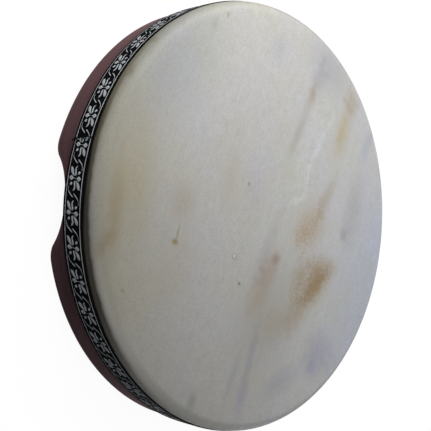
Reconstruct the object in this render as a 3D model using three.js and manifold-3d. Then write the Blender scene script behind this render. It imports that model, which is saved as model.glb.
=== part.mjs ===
// A bendir: a frame drum with a glued and tacked goatskin head, a woven braid over the skin's edge,
// a grip scallop in the rear rim, and two gut snares tuned by friction pegs inside the shell.
// Millimetres. The drum lies on its rear rim with the head up: +Z is the drum's axis, -Y the scallop.
import * as THREE from "three";
import { mergeVertices } from "three/addons/utils/BufferGeometryUtils.js";
import Module from "manifold-3d";

const wasm = await Module();
wasm.setup();

// Driving dimensions, in millimetres and degrees.
const GLUE_LINE = 0.25;

const SHELL_RADIUS = 189.5;
const SHELL_WALL = 9;
const SHELL_DEPTH = 62.35;
const BEARING_ROUND = 8;
const INNER_EASE = 0.6;
const RIM_EASE = 1.2;

const SCALLOP_RADIUS = 45.5;
const SCALLOP_DEPTH = 22.2;
const SCALLOP_CORNER = 20;

const SCARF_SEAM = -62.5;
const SCARF_SLOPE = 8;
const SCARF_NIB = 0.8;

const SKIN_THICKNESS = 0.9;

const BRAID_WIDTH = 25;
const BRAID_THICKNESS = 0.7;
const BRAID_ABOVE_SCALLOP = 2.4;
const BRAID_LAP = -105;
const SKIN_EDGE_COVER = 3.5;

const TACK_COUNT = 24;
const FACETS_PER_TACK = 4;
const TACK_HEAD_DIAMETER = 4.6;
const TACK_HEAD_THICKNESS = 0.4;
const TACK_HEAD_SEAT = 0.2;
const TACK_SHANK_DIAMETER = 1.4;
const TACK_LENGTH = 6.5;
const TACK_POINT = 2.5;

const GUT_DIAMETER = 1.2;
const SNARE_SPACING = 20;
const SNARE_BELOW_SKIN = 0.5;
const WINDING_TURNS = 3;
const WINDING_PITCH = 1.75;
const WRAP_TURN = 280;

const PEG_END_RADIUS = 3.5;
const PEG_TAPER = 1 / 60;
const PEG_RUNNING_ROOM = 0.1;
const PEG_END_ROOM = 0.4;
const PEG_COLLAR_RADIUS = 6;
const PEG_COLLAR_DEPTH = 2.6;
const PEG_NECK_RADIUS = 3.6;
const PEG_NECK_LENGTH = 3;
const PEG_THUMB_WIDTH = 17;
const PEG_THUMB_LENGTH = 19;
const PEG_THUMB_THICKNESS = 6.4;

const PEG_BLOCK_DEPTH = 22;
const PEG_BLOCK_HEIGHT = 15;
const PEG_BLOCK_END = 12;

const HITCH_PIN_DIAMETER = 2.6;
const HITCH_PIN_LENGTH = 14;
const HITCH_BLOCK_DEPTH = 13;
const HITCH_BLOCK_HEIGHT = 12;
const HITCH_BLOCK_END = 9;
const KNOT_FROM_PIN = 6;

// Faceting of the turned pieces.
const AROUND = TACK_COUNT * FACETS_PER_TACK;
const FACET = 360 / AROUND;
const ROUND_STEPS = 5;
const PEG_SIDES = 24;
const PIN_SIDES = 12;
const TACK_SIDES = 8;
const LOOP_STEPS = 24;
const GUT_SIDES = 6;

// Heights and radii that follow from the driving dimensions.
const innerRadius = SHELL_RADIUS - SHELL_WALL;
const skinBottom = SHELL_DEPTH + GLUE_LINE;
const skinTop = skinBottom + SKIN_THICKNESS;
const skinRadius = SHELL_RADIUS + GLUE_LINE + SKIN_THICKNESS;
const braidRadius = skinRadius + GLUE_LINE;
const braidBottom = SCALLOP_DEPTH + BRAID_ABOVE_SCALLOP;
const flapEnd = braidBottom + SKIN_EDGE_COVER;
const tackHeight = braidBottom + BRAID_WIDTH / 2;
const snareHeight = skinBottom - SNARE_BELOW_SKIN - GUT_DIAMETER / 2;
const windingBottom = snareHeight - WINDING_PITCH * (WINDING_TURNS + 1);
const blockTop = windingBottom - GUT_DIAMETER / 2 - GLUE_LINE;
const pegTop = skinBottom - PEG_END_ROOM;
const pegBlockBottom = blockTop - PEG_BLOCK_HEIGHT;

const radians = THREE.MathUtils.degToRad;

// How far a flat of a turned face lies inside the circle through its corners.
function facetDrop(radius, sides) {
  return radius * (1 - Math.cos(Math.PI / sides));
}

function pegRadiusAt(height) {
  return PEG_END_RADIUS + (pegTop - height) * PEG_TAPER;
}

const wrapRadius = pegRadiusAt(blockTop) + GLUE_LINE + GUT_DIAMETER / 2;
const blockRadius = innerRadius - facetDrop(innerRadius, AROUND) - GLUE_LINE;
const pegX = blockRadius - PEG_BLOCK_DEPTH / 2;
const pegY = SNARE_SPACING / 2 + wrapRadius;
const hitchX = -(blockRadius - HITCH_BLOCK_DEPTH / 2);

// Geometry of a form to a solid for cutting and joining, and back.
function toSolid(geometry) {
  const bare = geometry.clone();
  bare.deleteAttribute("normal");
  bare.deleteAttribute("uv");
  const welded = mergeVertices(bare, 1e-4);
  return new wasm.Manifold(
    new wasm.Mesh({
      numProp: 3,
      vertProperties: Float32Array.from(welded.attributes.position.array),
      triVerts: Uint32Array.from(welded.index.array),
    }),
  );
}

function toGeometry(solid) {
  const mesh = solid.getMesh();
  const geometry = new THREE.BufferGeometry();
  geometry.setAttribute("position", new THREE.BufferAttribute(mesh.vertProperties, 3));
  geometry.setIndex(new THREE.BufferAttribute(mesh.triVerts, 1));
  geometry.computeVertexNormals();
  return geometry;
}

// A closed profile of [radius, height] corners turned about the drum's axis.
function turned(profile, sides) {
  const points = profile.map(([radius, height]) => new THREE.Vector2(radius, height));
  return new THREE.LatheGeometry(points, sides).rotateX(Math.PI / 2);
}

// Corners of a quarter round about (radius, height), from its outer side up to its top.
function quarterRound(radius, height, size) {
  return Array.from({ length: ROUND_STEPS + 1 }, (_, step) => {
    const angle = (step / ROUND_STEPS) * (Math.PI / 2);
    return [radius + size * Math.cos(angle), height + size * Math.sin(angle)];
  });
}

// A flat outline in the XY plane drawn up to a height.
function upright(shape, bottom, height, curveSegments = 12) {
  const geometry = new THREE.ExtrudeGeometry(shape, { depth: height, bevelEnabled: false, curveSegments });
  return geometry.translate(0, 0, bottom);
}

// A round tube with flat ends through a run of points.
function tube(points, diameter) {
  const last = points.length - 1;
  const positions = [];
  const index = [];
  let side = new THREE.Vector3(0, 0, 1);
  points.forEach((point, at) => {
    const along = points[Math.min(at + 1, last)].clone().sub(points[Math.max(at - 1, 0)]).normalize();
    side = side.clone().addScaledVector(along, -side.dot(along)).normalize();
    const across = along.clone().cross(side);
    for (let corner = 0; corner < GUT_SIDES; corner += 1) {
      const angle = (corner / GUT_SIDES) * 2 * Math.PI;
      const out = side.clone().multiplyScalar(Math.cos(angle)).addScaledVector(across, Math.sin(angle));
      positions.push(...point.clone().addScaledVector(out, diameter / 2).toArray());
    }
  });
  for (let at = 0; at < last; at += 1) {
    for (let corner = 0; corner < GUT_SIDES; corner += 1) {
      const next = (corner + 1) % GUT_SIDES;
      const [a, b] = [at * GUT_SIDES + corner, at * GUT_SIDES + next];
      index.push(a, b, a + GUT_SIDES, b, b + GUT_SIDES, a + GUT_SIDES);
    }
  }
  for (let corner = 1; corner < GUT_SIDES - 1; corner += 1) {
    const start = last * GUT_SIDES;
    index.push(0, corner + 1, corner, start, start + corner, start + corner + 1);
  }
  const geometry = new THREE.BufferGeometry();
  geometry.setAttribute("position", new THREE.Float32BufferAttribute(positions, 3));
  geometry.setIndex(index);
  geometry.computeVertexNormals();
  return geometry;
}

// A point beside an upright axis at (x, y), by radius, angle in degrees and height.
function around(x, y, radius, angle, height) {
  return new THREE.Vector3(
    x + radius * Math.cos(radians(angle)),
    y + radius * Math.sin(radians(angle)),
    height,
  );
}

// Shell: one plank bent to a hoop. The outer edge is rounded over where the skin bears on it.
function shellBlank() {
  const profile = [
    [innerRadius + RIM_EASE, 0],
    [SHELL_RADIUS - RIM_EASE, 0],
    [SHELL_RADIUS, RIM_EASE],
    ...quarterRound(SHELL_RADIUS - BEARING_ROUND, SHELL_DEPTH - BEARING_ROUND, BEARING_ROUND),
    [innerRadius + INNER_EASE, SHELL_DEPTH],
    [innerRadius, SHELL_DEPTH - INNER_EASE],
    [innerRadius, RIM_EASE],
    [innerRadius + RIM_EASE, 0],
  ];
  return turned(profile, AROUND);
}

// The grip scallop: a round bay in the rear rim whose two lips are rounded over.
function scallopCutter() {
  const reach = SCALLOP_DEPTH - SCALLOP_RADIUS;
  const lip = Math.sqrt((SCALLOP_RADIUS + SCALLOP_CORNER) ** 2 - (SCALLOP_CORNER - reach) ** 2);
  const turn = Math.atan2(SCALLOP_CORNER - reach, lip);
  const below = -SHELL_WALL;
  const shape = new THREE.Shape();
  shape.moveTo(-lip, below);
  shape.lineTo(lip, below);
  shape.lineTo(lip, 0);
  shape.absarc(lip, SCALLOP_CORNER, SCALLOP_CORNER, -Math.PI / 2, turn - Math.PI, true);
  shape.absarc(0, reach, SCALLOP_RADIUS, turn, Math.PI - turn, false);
  shape.absarc(-lip, SCALLOP_CORNER, SCALLOP_CORNER, -turn, -Math.PI / 2, true);
  const start = innerRadius - 2 * SHELL_WALL;
  return upright(shape, start, 4 * SHELL_WALL, 9).rotateX(Math.PI / 2);
}

// The glue line of the scarf joint, where the plank's two tapered ends meet: a nib, a long slope, a nib.
function scarfCutter() {
  const sweep = THREE.MathUtils.radToDeg((SCARF_SLOPE * SHELL_WALL) / SHELL_RADIUS);
  const steps = 6;
  const half = THREE.MathUtils.radToDeg(GLUE_LINE / 2 / SHELL_RADIUS);
  const line = [[SCARF_SEAM, SHELL_RADIUS + 1]];
  for (let step = 0; step <= steps; step += 1) {
    const share = step / steps;
    const radius = SHELL_RADIUS - SCARF_NIB - share * (SHELL_WALL - 2 * SCARF_NIB);
    line.push([SCARF_SEAM + share * sweep, radius]);
  }
  line.push([SCARF_SEAM + sweep, innerRadius - 1]);
  const place = ([angle, radius]) => [radius * Math.cos(radians(angle)), radius * Math.sin(radians(angle))];
  const near = line.map(([angle, radius]) => place([angle - half, radius - GLUE_LINE / 2]));
  const far = line.map(([angle, radius]) => place([angle + half, radius + GLUE_LINE / 2]));
  const outline = [...near, ...far.reverse()].map(([x, y]) => new THREE.Vector2(x, y));
  return upright(new THREE.Shape(outline), -1, SHELL_DEPTH + 2);
}

// A tack, point inwards, by [radius, height] corners on its own axis. Room widens it into its hole.
function tackForm(room) {
  const head = TACK_HEAD_DIAMETER / 2 + room;
  const shank = TACK_SHANK_DIAMETER / 2 + room;
  const top = room > 0 ? 1 : 0;
  const seat = -TACK_HEAD_THICKNESS - (room > 0 ? TACK_HEAD_SEAT : 0);
  const profile = [
    [0, -TACK_LENGTH - room],
    [shank, TACK_POINT - TACK_LENGTH - room],
    [shank, seat],
    [head, seat],
    [head, top],
    [0, top],
  ];
  return turned(profile, TACK_SIDES);
}

// Stands a form made along +Z on the flat of the skin's flap at an angle, so that +Z points outwards.
function onFlap(geometry, angle) {
  const flat = skinRadius - facetDrop(skinRadius, AROUND);
  const out = geometry.rotateY(Math.PI / 2).translate(flat, 0, 0).rotateZ(radians(angle));
  return out.translate(0, 0, tackHeight);
}

// A tack stands in the middle of a flat, so that its head lies flush.
const tackAngles = Array.from({ length: TACK_COUNT }, (_, at) => (at * FACETS_PER_TACK + 0.5) * FACET);

function tackHoles() {
  return tackAngles.map((angle) => toSolid(onFlap(tackForm(GLUE_LINE), angle)));
}

function shellHoop() {
  const cutters = [toSolid(scallopCutter()), toSolid(scarfCutter()), ...tackHoles()];
  const blank = toSolid(shellBlank());
  return toGeometry(cutters.reduce((wood, cutter) => wood.subtract(cutter), blank));
}

// Head: a goatskin laid over the rounded edge and drawn down the side to end under the braid.
function skinHead() {
  const edge = SHELL_RADIUS - BEARING_ROUND;
  const start = SHELL_DEPTH - BEARING_ROUND;
  const outside = quarterRound(edge, start, BEARING_ROUND + GLUE_LINE + SKIN_THICKNESS);
  const inside = quarterRound(edge, start, BEARING_ROUND + GLUE_LINE).reverse();
  const profile = [
    [0, skinBottom],
    ...inside,
    [SHELL_RADIUS + GLUE_LINE, flapEnd],
    [skinRadius, flapEnd],
    ...outside,
    [0, skinTop],
  ];
  const blank = toSolid(turned(profile, AROUND));
  return toGeometry(tackHoles().reduce((skin, cutter) => skin.subtract(cutter), blank));
}

// Braid: a woven strip glued round the drum. Its last end laps over its first by one flat.
function trimBraid() {
  const first = Math.round(BRAID_LAP / FACET) - 1;
  const lapped = braidRadius + BRAID_THICKNESS + GLUE_LINE;
  const corner = (at, extra) => {
    const radius = (at >= AROUND ? lapped : braidRadius) + extra;
    const angle = radians((first + at) * FACET);
    return new THREE.Vector2(radius * Math.cos(angle), radius * Math.sin(angle));
  };
  const run = Array.from({ length: AROUND + 2 }, (_, at) => at);
  const outside = run.map((at) => corner(at, BRAID_THICKNESS));
  const inside = run.map((at) => corner(at, 0)).reverse();
  return upright(new THREE.Shape([...outside, ...inside]), braidBottom, BRAID_WIDTH);
}

// Block glued to the inner wall: its back follows the shell, its front is flat.
function wallBlock(depth, halfLength, height, bores) {
  const reach = Math.asin(halfLength / blockRadius);
  const shape = new THREE.Shape();
  shape.moveTo(blockRadius - depth, -halfLength);
  shape.lineTo(blockRadius * Math.cos(reach), -halfLength);
  shape.absarc(0, 0, blockRadius, -reach, reach, false);
  shape.lineTo(blockRadius - depth, halfLength);
  const block = toSolid(upright(shape, blockTop - height, height, 8));
  return toGeometry(bores.reduce((wood, bore) => wood.subtract(toSolid(bore)), block));
}

function pegBore(y) {
  const room = PEG_RUNNING_ROOM + facetDrop(pegRadiusAt(pegBlockBottom), PEG_SIDES);
  const [high, low] = [blockTop + 1, pegBlockBottom - 1];
  const bore = new THREE.CylinderGeometry(
    pegRadiusAt(high) + room,
    pegRadiusAt(low) + room,
    high - low,
    PEG_SIDES,
  );
  return bore.rotateX(Math.PI / 2).translate(pegX, y, (high + low) / 2);
}

function pegBlock() {
  return wallBlock(PEG_BLOCK_DEPTH, pegY + PEG_BLOCK_END, PEG_BLOCK_HEIGHT, [pegBore(-pegY), pegBore(pegY)]);
}

// Peg: a tapered shank through the block, a collar under it, and a flat thumb piece towards the open back.
function snarePeg(y) {
  const collarTop = pegBlockBottom - GLUE_LINE;
  const collarBottom = collarTop - PEG_COLLAR_DEPTH;
  const neckBottom = collarBottom - PEG_NECK_LENGTH;
  const ease = PEG_COLLAR_DEPTH / 4;
  const profile = [
    [0, neckBottom - ease],
    [PEG_NECK_RADIUS, neckBottom - ease],
    [PEG_NECK_RADIUS * 0.86, (neckBottom + collarBottom) / 2],
    [PEG_NECK_RADIUS, collarBottom],
    [PEG_COLLAR_RADIUS - ease, collarBottom],
    [PEG_COLLAR_RADIUS, collarBottom + ease],
    [PEG_COLLAR_RADIUS, collarTop - ease],
    [PEG_COLLAR_RADIUS - ease, collarTop],
    [pegRadiusAt(collarTop), collarTop],
    [pegRadiusAt(pegTop - ease), pegTop - ease],
    [pegRadiusAt(pegTop) - ease, pegTop],
    [0, pegTop],
  ];
  const bevel = PEG_THUMB_THICKNESS * 0.3;
  const [width, length] = [PEG_THUMB_WIDTH / 2 - bevel, PEG_THUMB_LENGTH / 2 - bevel];
  const outline = new THREE.Shape();
  outline.absellipse(0, 0, width, length, 0, 2 * Math.PI, false);
  const thumb = new THREE.ExtrudeGeometry(outline, {
    depth: PEG_THUMB_THICKNESS - 2 * bevel,
    bevelThickness: bevel,
    bevelSize: bevel,
    bevelSegments: 2,
    curveSegments: 10,
  });
  thumb.translate(0, 0, bevel - PEG_THUMB_THICKNESS / 2).rotateX(Math.PI / 2);
  thumb.translate(0, 0, neckBottom - PEG_THUMB_LENGTH / 2);
  const peg = toSolid(turned(profile, PEG_SIDES)).add(toSolid(thumb));
  return toGeometry(peg).translate(pegX, y, 0);
}

// Winding: the gut's spare turns below its last wrap, which go round with the peg.
function windingPoints(side) {
  const steps = WINDING_TURNS * LOOP_STEPS;
  const turn = (at) => side * (WRAP_TURN - 90 + (at / LOOP_STEPS) * 360);
  const points = Array.from({ length: steps + 1 }, (_, at) => {
    const height = snareHeight - WINDING_PITCH * (1 + at / LOOP_STEPS);
    return around(pegX, side * pegY, wrapRadius, turn(at), height);
  });
  const tail = (at, way) => {
    const heading = radians(turn(at) + way * side * 90);
    const run = new THREE.Vector3(Math.cos(heading), Math.sin(heading), 0);
    return points[at].clone().addScaledVector(run, GUT_DIAMETER);
  };
  return [tail(0, -1), ...points, tail(steps, 1)];
}

// Least room between two parts of a winding that are more than half a turn apart along it.
function leastSelfGap(points) {
  let least = Infinity;
  points.forEach((point, at) => {
    for (const other of points.slice(at + LOOP_STEPS / 2)) {
      least = Math.min(least, point.distanceTo(other) - GUT_DIAMETER);
    }
  });
  return least;
}

// Snare: a gut from its knotted loop on the hitch pin, along under the skin, to a wrap on the peg.
function snareString(side) {
  const y = (side * SNARE_SPACING) / 2;
  const knotX = hitchX + KNOT_FROM_PIN;
  const loopRadius = HITCH_PIN_DIAMETER / 2 + GLUE_LINE + GUT_DIAMETER / 2;
  const legGap = GUT_DIAMETER * 0.55;
  const bight = Array.from({ length: LOOP_STEPS / 2 + 1 }, (_, at) => {
    return around(hitchX, y, loopRadius, 90 + (at / LOOP_STEPS) * 360, snareHeight);
  });
  const legs = [1, -1].map((way) => new THREE.Vector3(knotX, y + way * legGap, snareHeight));
  const loop = toSolid(tube([legs[0], ...bight, legs[1]], GUT_DIAMETER));
  const knot = new THREE.SphereGeometry(GUT_DIAMETER, 12, 8).scale(1.6, 1.25, 0.9);
  const knotHeight = snareHeight - GUT_DIAMETER * 0.4;
  const steps = Math.round((WRAP_TURN / 360) * LOOP_STEPS);
  const wrap = Array.from({ length: steps + 1 }, (_, at) => {
    return around(pegX, side * pegY, wrapRadius, side * (-90 + (at / steps) * WRAP_TURN), snareHeight);
  });
  const run = toSolid(tube([new THREE.Vector3(knotX, y, snareHeight), ...wrap], GUT_DIAMETER));
  return toGeometry(loop.add(toSolid(knot.translate(knotX, y, knotHeight))).add(run));
}

function hitchPin(y, room) {
  const radius = HITCH_PIN_DIAMETER / 2 + room;
  const top = snareHeight + GUT_DIAMETER / 2;
  const bottom = top - HITCH_PIN_LENGTH - room;
  const profile = [
    [0, bottom],
    [radius, bottom],
    [radius, top - radius / 2],
    [radius / 2, top],
    [0, top],
  ];
  return turned(profile, PIN_SIDES).translate(hitchX, y, 0);
}

function hitchBlock() {
  const half = SNARE_SPACING / 2 + HITCH_BLOCK_END;
  const bores = [-1, 1].map((side) => hitchPin((side * SNARE_SPACING) / 2, GLUE_LINE).rotateZ(Math.PI));
  return wallBlock(HITCH_BLOCK_DEPTH, half, HITCH_BLOCK_HEIGHT, bores).rotateZ(Math.PI);
}

// Assembly: every piece is a named node with its own material.
const drum = new THREE.Group();
drum.name = "bendir";

const finish = {
  wood: { color: "#4a2c2b", roughness: 0.42, metalness: 0 },
  skin: { color: "#b3a798", roughness: 0.6, metalness: 0 },
  braid: { color: "#17161a", roughness: 0.85, metalness: 0 },
  steel: { color: "#7d7d80", roughness: 0.4, metalness: 1 },
  block: { color: "#5b3a30", roughness: 0.6, metalness: 0 },
  peg: { color: "#2f1d1a", roughness: 0.35, metalness: 0 },
  brass: { color: "#b08d4a", roughness: 0.35, metalness: 1 },
  gut: { color: "#cdb98a", roughness: 0.5, metalness: 0 },
};

function place(name, geometry, material) {
  const mesh = new THREE.Mesh(geometry, new THREE.MeshStandardMaterial(finish[material]));
  mesh.name = name;
  drum.add(mesh);
}

place("shell_hoop", shellHoop(), "wood");
place("skin_head", skinHead(), "skin");
place("trim_braid", trimBraid(), "braid");
tackAngles.forEach((angle, at) => {
  place(`tack_${String(at + 1).padStart(2, "0")}`, onFlap(tackForm(0), angle), "steel");
});
place("peg_block", pegBlock(), "block");
place("hitch_block", hitchBlock(), "block");
[1, -1].forEach((side, at) => {
  const winding = windingPoints(side);
  console.log(`snare_winding_${at + 1} least gap to itself ${leastSelfGap(winding).toFixed(2)} mm`);
  place(`snare_peg_${at + 1}`, snarePeg(side * pegY), "peg");
  place(`snare_winding_${at + 1}`, tube(winding, GUT_DIAMETER), "gut");
  place(`snare_string_${at + 1}`, snareString(side), "gut");
  place(`hitch_pin_${at + 1}`, hitchPin((side * SNARE_SPACING) / 2, 0), "brass");
});

export default drum;
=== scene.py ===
# %% [markdown]
# # A bendir, dressed for its portrait
# The drum arrives from its frame with every piece in place: a bent wooden shell, a goatskin head, a woven
# braid, the tacks under the braid, and two gut snares with their pegs inside. This lesson gives each of
# them its real surface. Everything is in metres and in the frame's own axes, so nothing has to be fitted:
# the drum lies on its rear rim, +Z runs up through the head, and the grip scallop faces -Y.

# %% Load the frame
import math
import random

import bmesh
import bpy
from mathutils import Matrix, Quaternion, Vector


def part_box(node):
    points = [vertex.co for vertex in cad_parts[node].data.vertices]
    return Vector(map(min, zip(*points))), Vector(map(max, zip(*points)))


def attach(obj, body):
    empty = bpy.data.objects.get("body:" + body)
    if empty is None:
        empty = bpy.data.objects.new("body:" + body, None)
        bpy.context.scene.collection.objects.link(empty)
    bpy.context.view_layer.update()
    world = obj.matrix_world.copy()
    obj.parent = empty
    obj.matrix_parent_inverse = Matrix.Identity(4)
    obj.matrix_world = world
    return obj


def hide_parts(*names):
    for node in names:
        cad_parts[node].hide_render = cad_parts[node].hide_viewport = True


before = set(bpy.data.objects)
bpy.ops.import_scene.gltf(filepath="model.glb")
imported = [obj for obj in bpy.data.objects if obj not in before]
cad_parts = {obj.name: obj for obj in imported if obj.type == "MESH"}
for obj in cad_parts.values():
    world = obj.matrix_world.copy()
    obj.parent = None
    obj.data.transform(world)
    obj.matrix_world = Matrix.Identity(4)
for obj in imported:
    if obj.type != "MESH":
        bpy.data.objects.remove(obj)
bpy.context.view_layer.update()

MM = 0.001

# %% [markdown]
# ## The sizes that the dressing shares
# The radii and heights are read from the frame. A few sizes of the real drum are repeated here, because
# they shape curves that a box can't tell: the scallop's bay, the rounded bearing edge and the scarf.

# %% Sizes of the drum
SHELL_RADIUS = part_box("shell_hoop")[1][0]
SHELL_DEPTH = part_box("shell_hoop")[1][2]
SKIN_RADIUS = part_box("skin_head")[1][0]
SKIN_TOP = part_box("skin_head")[1][2]
SKIN_FLAP_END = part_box("skin_head")[0][2]
BRAID_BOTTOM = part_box("trim_braid")[0][2]
BRAID_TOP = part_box("trim_braid")[1][2]
SHELL_WALL = 9 * MM
BEARING_ROUND = 8 * MM
RIM_EASE = 1.4 * MM
SKIN_THICKNESS = 0.9 * MM
GLUE_LINE = 0.25 * MM
SCALLOP_RADIUS = 45.5 * MM
SCALLOP_DEPTH = 22.2 * MM
SCALLOP_CORNER = 20 * MM
SCARF_SEAM = math.radians(-62.5)
SCARF_SWEEP = 8 * SHELL_WALL / SHELL_RADIUS
print("shell", SHELL_RADIUS, SHELL_DEPTH, "skin", SKIN_RADIUS, SKIN_TOP, "braid", BRAID_BOTTOM, BRAID_TOP)

# %% [markdown]
# ## The camera
# The photograph was taken with a short portrait lens from about 0.67 m, looking down on the head at about
# forty-five degrees, and the picture was then turned on its side: the open rear of the drum points left.
# So the camera looks at the head as anyone would look at a drum on a table, and is rolled by about a
# quarter turn. A camera is an object that holds camera data, and one helper puts any such pair into the
# scene.

# %% Camera
CAMERA_AT = Vector((25.6, -543.1, 538.2)) * MM
CAMERA_AIM = Vector((3.1, -65.9, 63.5)) * MM
CAMERA_ROLL = math.radians(91.57)
CAMERA_LENS = 67.2
CAMERA_SENSOR = 36


def placed(name, data):
    """A new object that holds the data, in the scene."""
    made = bpy.data.objects.new(name, data)
    bpy.context.scene.collection.objects.link(made)
    return made


camera = placed("camera", bpy.data.cameras.new("camera"))
camera.data.sensor_width = CAMERA_SENSOR
camera.data.lens = CAMERA_LENS
camera.data.clip_start = 0.01
camera.location = CAMERA_AT
camera.rotation_mode = "QUATERNION"
facing = (CAMERA_AIM - CAMERA_AT).to_track_quat("-Z", "Y")
camera.rotation_quaternion = facing @ Quaternion((0, 0, 1), CAMERA_ROLL)
bpy.context.scene.camera = camera
bpy.context.scene.view_settings.view_transform = "Standard"
print("camera", round((CAMERA_AIM - CAMERA_AT).length, 3), "m from the head")

# %% [markdown]
# ## Helpers for shaders
# Every colour below is an sRGB hex value, as a paint chart gives it, and one function turns it to the
# linear light that shaders count in. A second one wires values and sockets to the inputs of a node, and a
# third adds a node, sets it and wires it in one line, so that each finish reads as a short recipe. Inputs
# go by name, or by number where names repeat: a Mix node for colours has its two colours at 6 and 7.

# %% Colour and node helpers
def linear(hex_code):
    """An sRGB hex colour as linear red, green, blue and a full alpha."""
    shares = [int(hex_code[at : at + 2], 16) / 255 for at in (1, 3, 5)]
    return (*(s / 12.92 if s <= 0.04045 else ((s + 0.055) / 1.055) ** 2.4 for s in shares), 1.0)


def wire(tree, node, links):
    """Give inputs of a node a plain value, or link them to another node's socket."""
    for socket, source in links.items():
        if isinstance(source, bpy.types.NodeSocket):
            tree.links.new(source, node.inputs[socket])
        else:
            node.inputs[socket].default_value = source


def add(tree, kind, links=None, stops=(), **settings):
    """Add a shader node: links are its inputs, stops the two colours of a ramp, settings its properties."""
    node = tree.nodes.new("ShaderNode" + kind)
    for name, value in settings.items():
        setattr(node, name, value)
    for stop, (position, tint) in enumerate(stops):
        node.color_ramp.elements[stop].position = position
        node.color_ramp.elements[stop].color = linear(tint)
    wire(tree, node, links or {})
    return node


def finish_named(name):
    """A new material, its node tree and its main shader."""
    material = bpy.data.materials.new(name)
    material.use_nodes = True
    return material, material.node_tree, material.node_tree.nodes["Principled BSDF"]


WHITE = linear("#ffffff")
print("white is", WHITE)

# %% [markdown]
# ## The studio
# The drum lies on a wide pale floor. To the rays that make the picture, floor and world glow almost to
# white, while they light the drum only a little, so that it keeps its shadow. Reflections see that white
# as well. Even a weak mirror would lay it as a grey veil over dark wood and black cotton, so the specular
# levels of those finishes are far lower than a shader's usual one.

# %% Floor and world
FLOOR_HALF = 3.0
FLOOR_BELOW = 0.2 * MM
FLOOR_GLOW = 0.94
WORLD_FILL = 0.05


def picture_rays(tree):
    """1 for rays that make the picture, straight or by a mirror or glass, and 0 for rays that light it."""
    rays = add(tree, "LightPath").outputs
    seen = add(tree, "Math", {0: rays["Is Camera Ray"], 1: rays["Is Glossy Ray"]}, operation="MAXIMUM")
    seen = add(tree, "Math", {0: seen.outputs[0], 1: rays["Is Transmission Ray"]}, operation="MAXIMUM")
    return seen.outputs[0]


floor_mesh = bpy.data.meshes.new("studio_floor")
corners = [(-1, -1), (1, -1), (1, 1), (-1, 1)]
corners = [(x * FLOOR_HALF, y * FLOOR_HALF, -FLOOR_BELOW) for x, y in corners]
floor_mesh.from_pydata(corners, [], [(0, 1, 2, 3)])
floor = placed("studio_floor", floor_mesh)

# Matt wall paint, rolled on: an even tone without a highlight.
floor_paint, tree, shader = finish_named("matt_white_floor_paint")
glow = add(tree, "Math", {0: picture_rays(tree), 1: FLOOR_GLOW}, operation="MULTIPLY").outputs[0]
wire(tree, shader, {"Base Color": linear("#505050"), "Roughness": 0.9})
wire(tree, shader, {"Emission Color": WHITE, "Emission Strength": glow})
floor_mesh.materials.append(floor_paint)

world = bpy.data.worlds.new("studio_air")
bpy.context.scene.world = world
world.use_nodes = True
tree = world.node_tree
level = {"Value": picture_rays(tree), "To Min": WORLD_FILL, "To Max": 1.0}
level = add(tree, "MapRange", level).outputs[0]
wire(tree, tree.nodes["Background"], {"Color": WHITE, "Strength": level})
print("floor", 2 * FLOOR_HALF, "m wide, world fill", WORLD_FILL)

# %% [markdown]
# The light comes from five soft boxes, as in a photographer's room. The key is large and stands on the -X
# side, which is up in the picture. A small lamp close above the same rim helps it, so that the head falls
# off from light to dusk across its width. A low lamp behind the drum lays a cool sheen on the far side of
# the head, and a wide one overhead fills the shadows. The last one is tiny and stands lower than the
# head, so it lifts only the rounded edge on the +X side and leaves the flat skin as it is.

# %% Lamps
LAMP_AIM = Vector((0, 0, 0.03))
LAMPS = [
    # name, place in metres, width in metres, watts, tint
    ("key_softbox", (-0.80, -0.45, 0.50), 0.5, 4.6, "#fffdf8"),
    ("side_softbox", (-0.34, 0.00, 0.36), 0.25, 0.62, "#fffdf8"),
    ("far_softbox", (-0.10, 0.60, 0.38), 0.4, 1.2, "#e6edff"),
    ("top_softbox", (0.08, -0.30, 1.40), 1.0, 5.1, "#ffffff"),
    ("low_softbox", (0.52, 0.40, 0.03), 0.055, 0.4, "#f4f6ff"),
]

for name, at, width, watts, tint in LAMPS:
    lamp = bpy.data.lights.new(name, "AREA")
    lamp.size = width
    lamp.energy = watts
    lamp.color = linear(tint)[:3]
    holder = placed(name, lamp)
    holder.location = at
    holder.visible_camera = False
    holder.rotation_euler = (LAMP_AIM - Vector(at)).to_track_quat("-Z", "Y").to_euler()
print(len(LAMPS), "lamps")

# %% [markdown]
# ## Building meshes from rows of points
# The shell, the head and the braid are all rows of points swept round the drum, and so are guts and
# threads along their lines. One helper turns such rows into clean quads, and lays a flat map over them in
# metres, so that grain and weave can run along the piece as they do on the real one. Blender's own curve
# bevels could sweep a section too, but they give no such map.

# %% Mesh helpers
def piece(name, points, faces, flat_map=None, sharp=40):
    """A smooth-shaded mesh object. flat_map gives a (u, v) in metres for each corner of each face."""
    mesh = bpy.data.meshes.new(name)
    mesh.from_pydata(points, [], faces)
    if flat_map:
        layer = mesh.uv_layers.new(name="flat_map")
        for loop, place in zip(layer.data, (place for face in flat_map for place in face)):
            loop.uv = place
    form = bmesh.new()
    form.from_mesh(mesh)
    bmesh.ops.recalc_face_normals(form, faces=form.faces)
    form.to_mesh(mesh)
    form.free()
    mesh.shade_smooth()
    mesh.set_sharp_from_angle(angle=math.radians(sharp))
    mesh.validate()
    return placed(name, mesh)


def swept(rows, closed_rows, closed_columns, along=None, across=None):
    """Points, quads and a flat map from rows of points: along and across say where rows and columns lie."""
    height, width = len(rows), len(rows[0])
    points = [point for row in rows for point in row]
    faces, flat_map = [], []
    for i in range(height if closed_rows else height - 1):
        for j in range(width if closed_columns else width - 1):
            k, m = (i + 1) % height, (j + 1) % width
            faces.append((i * width + j, k * width + j, k * width + m, i * width + m))
            if along:
                near, far = along[i], along[i + 1]
                low, high = across[j], across[j + 1]
                flat_map.append(((near, low), (far, low), (far, high), (near, high)))
    return points, faces, flat_map


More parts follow.
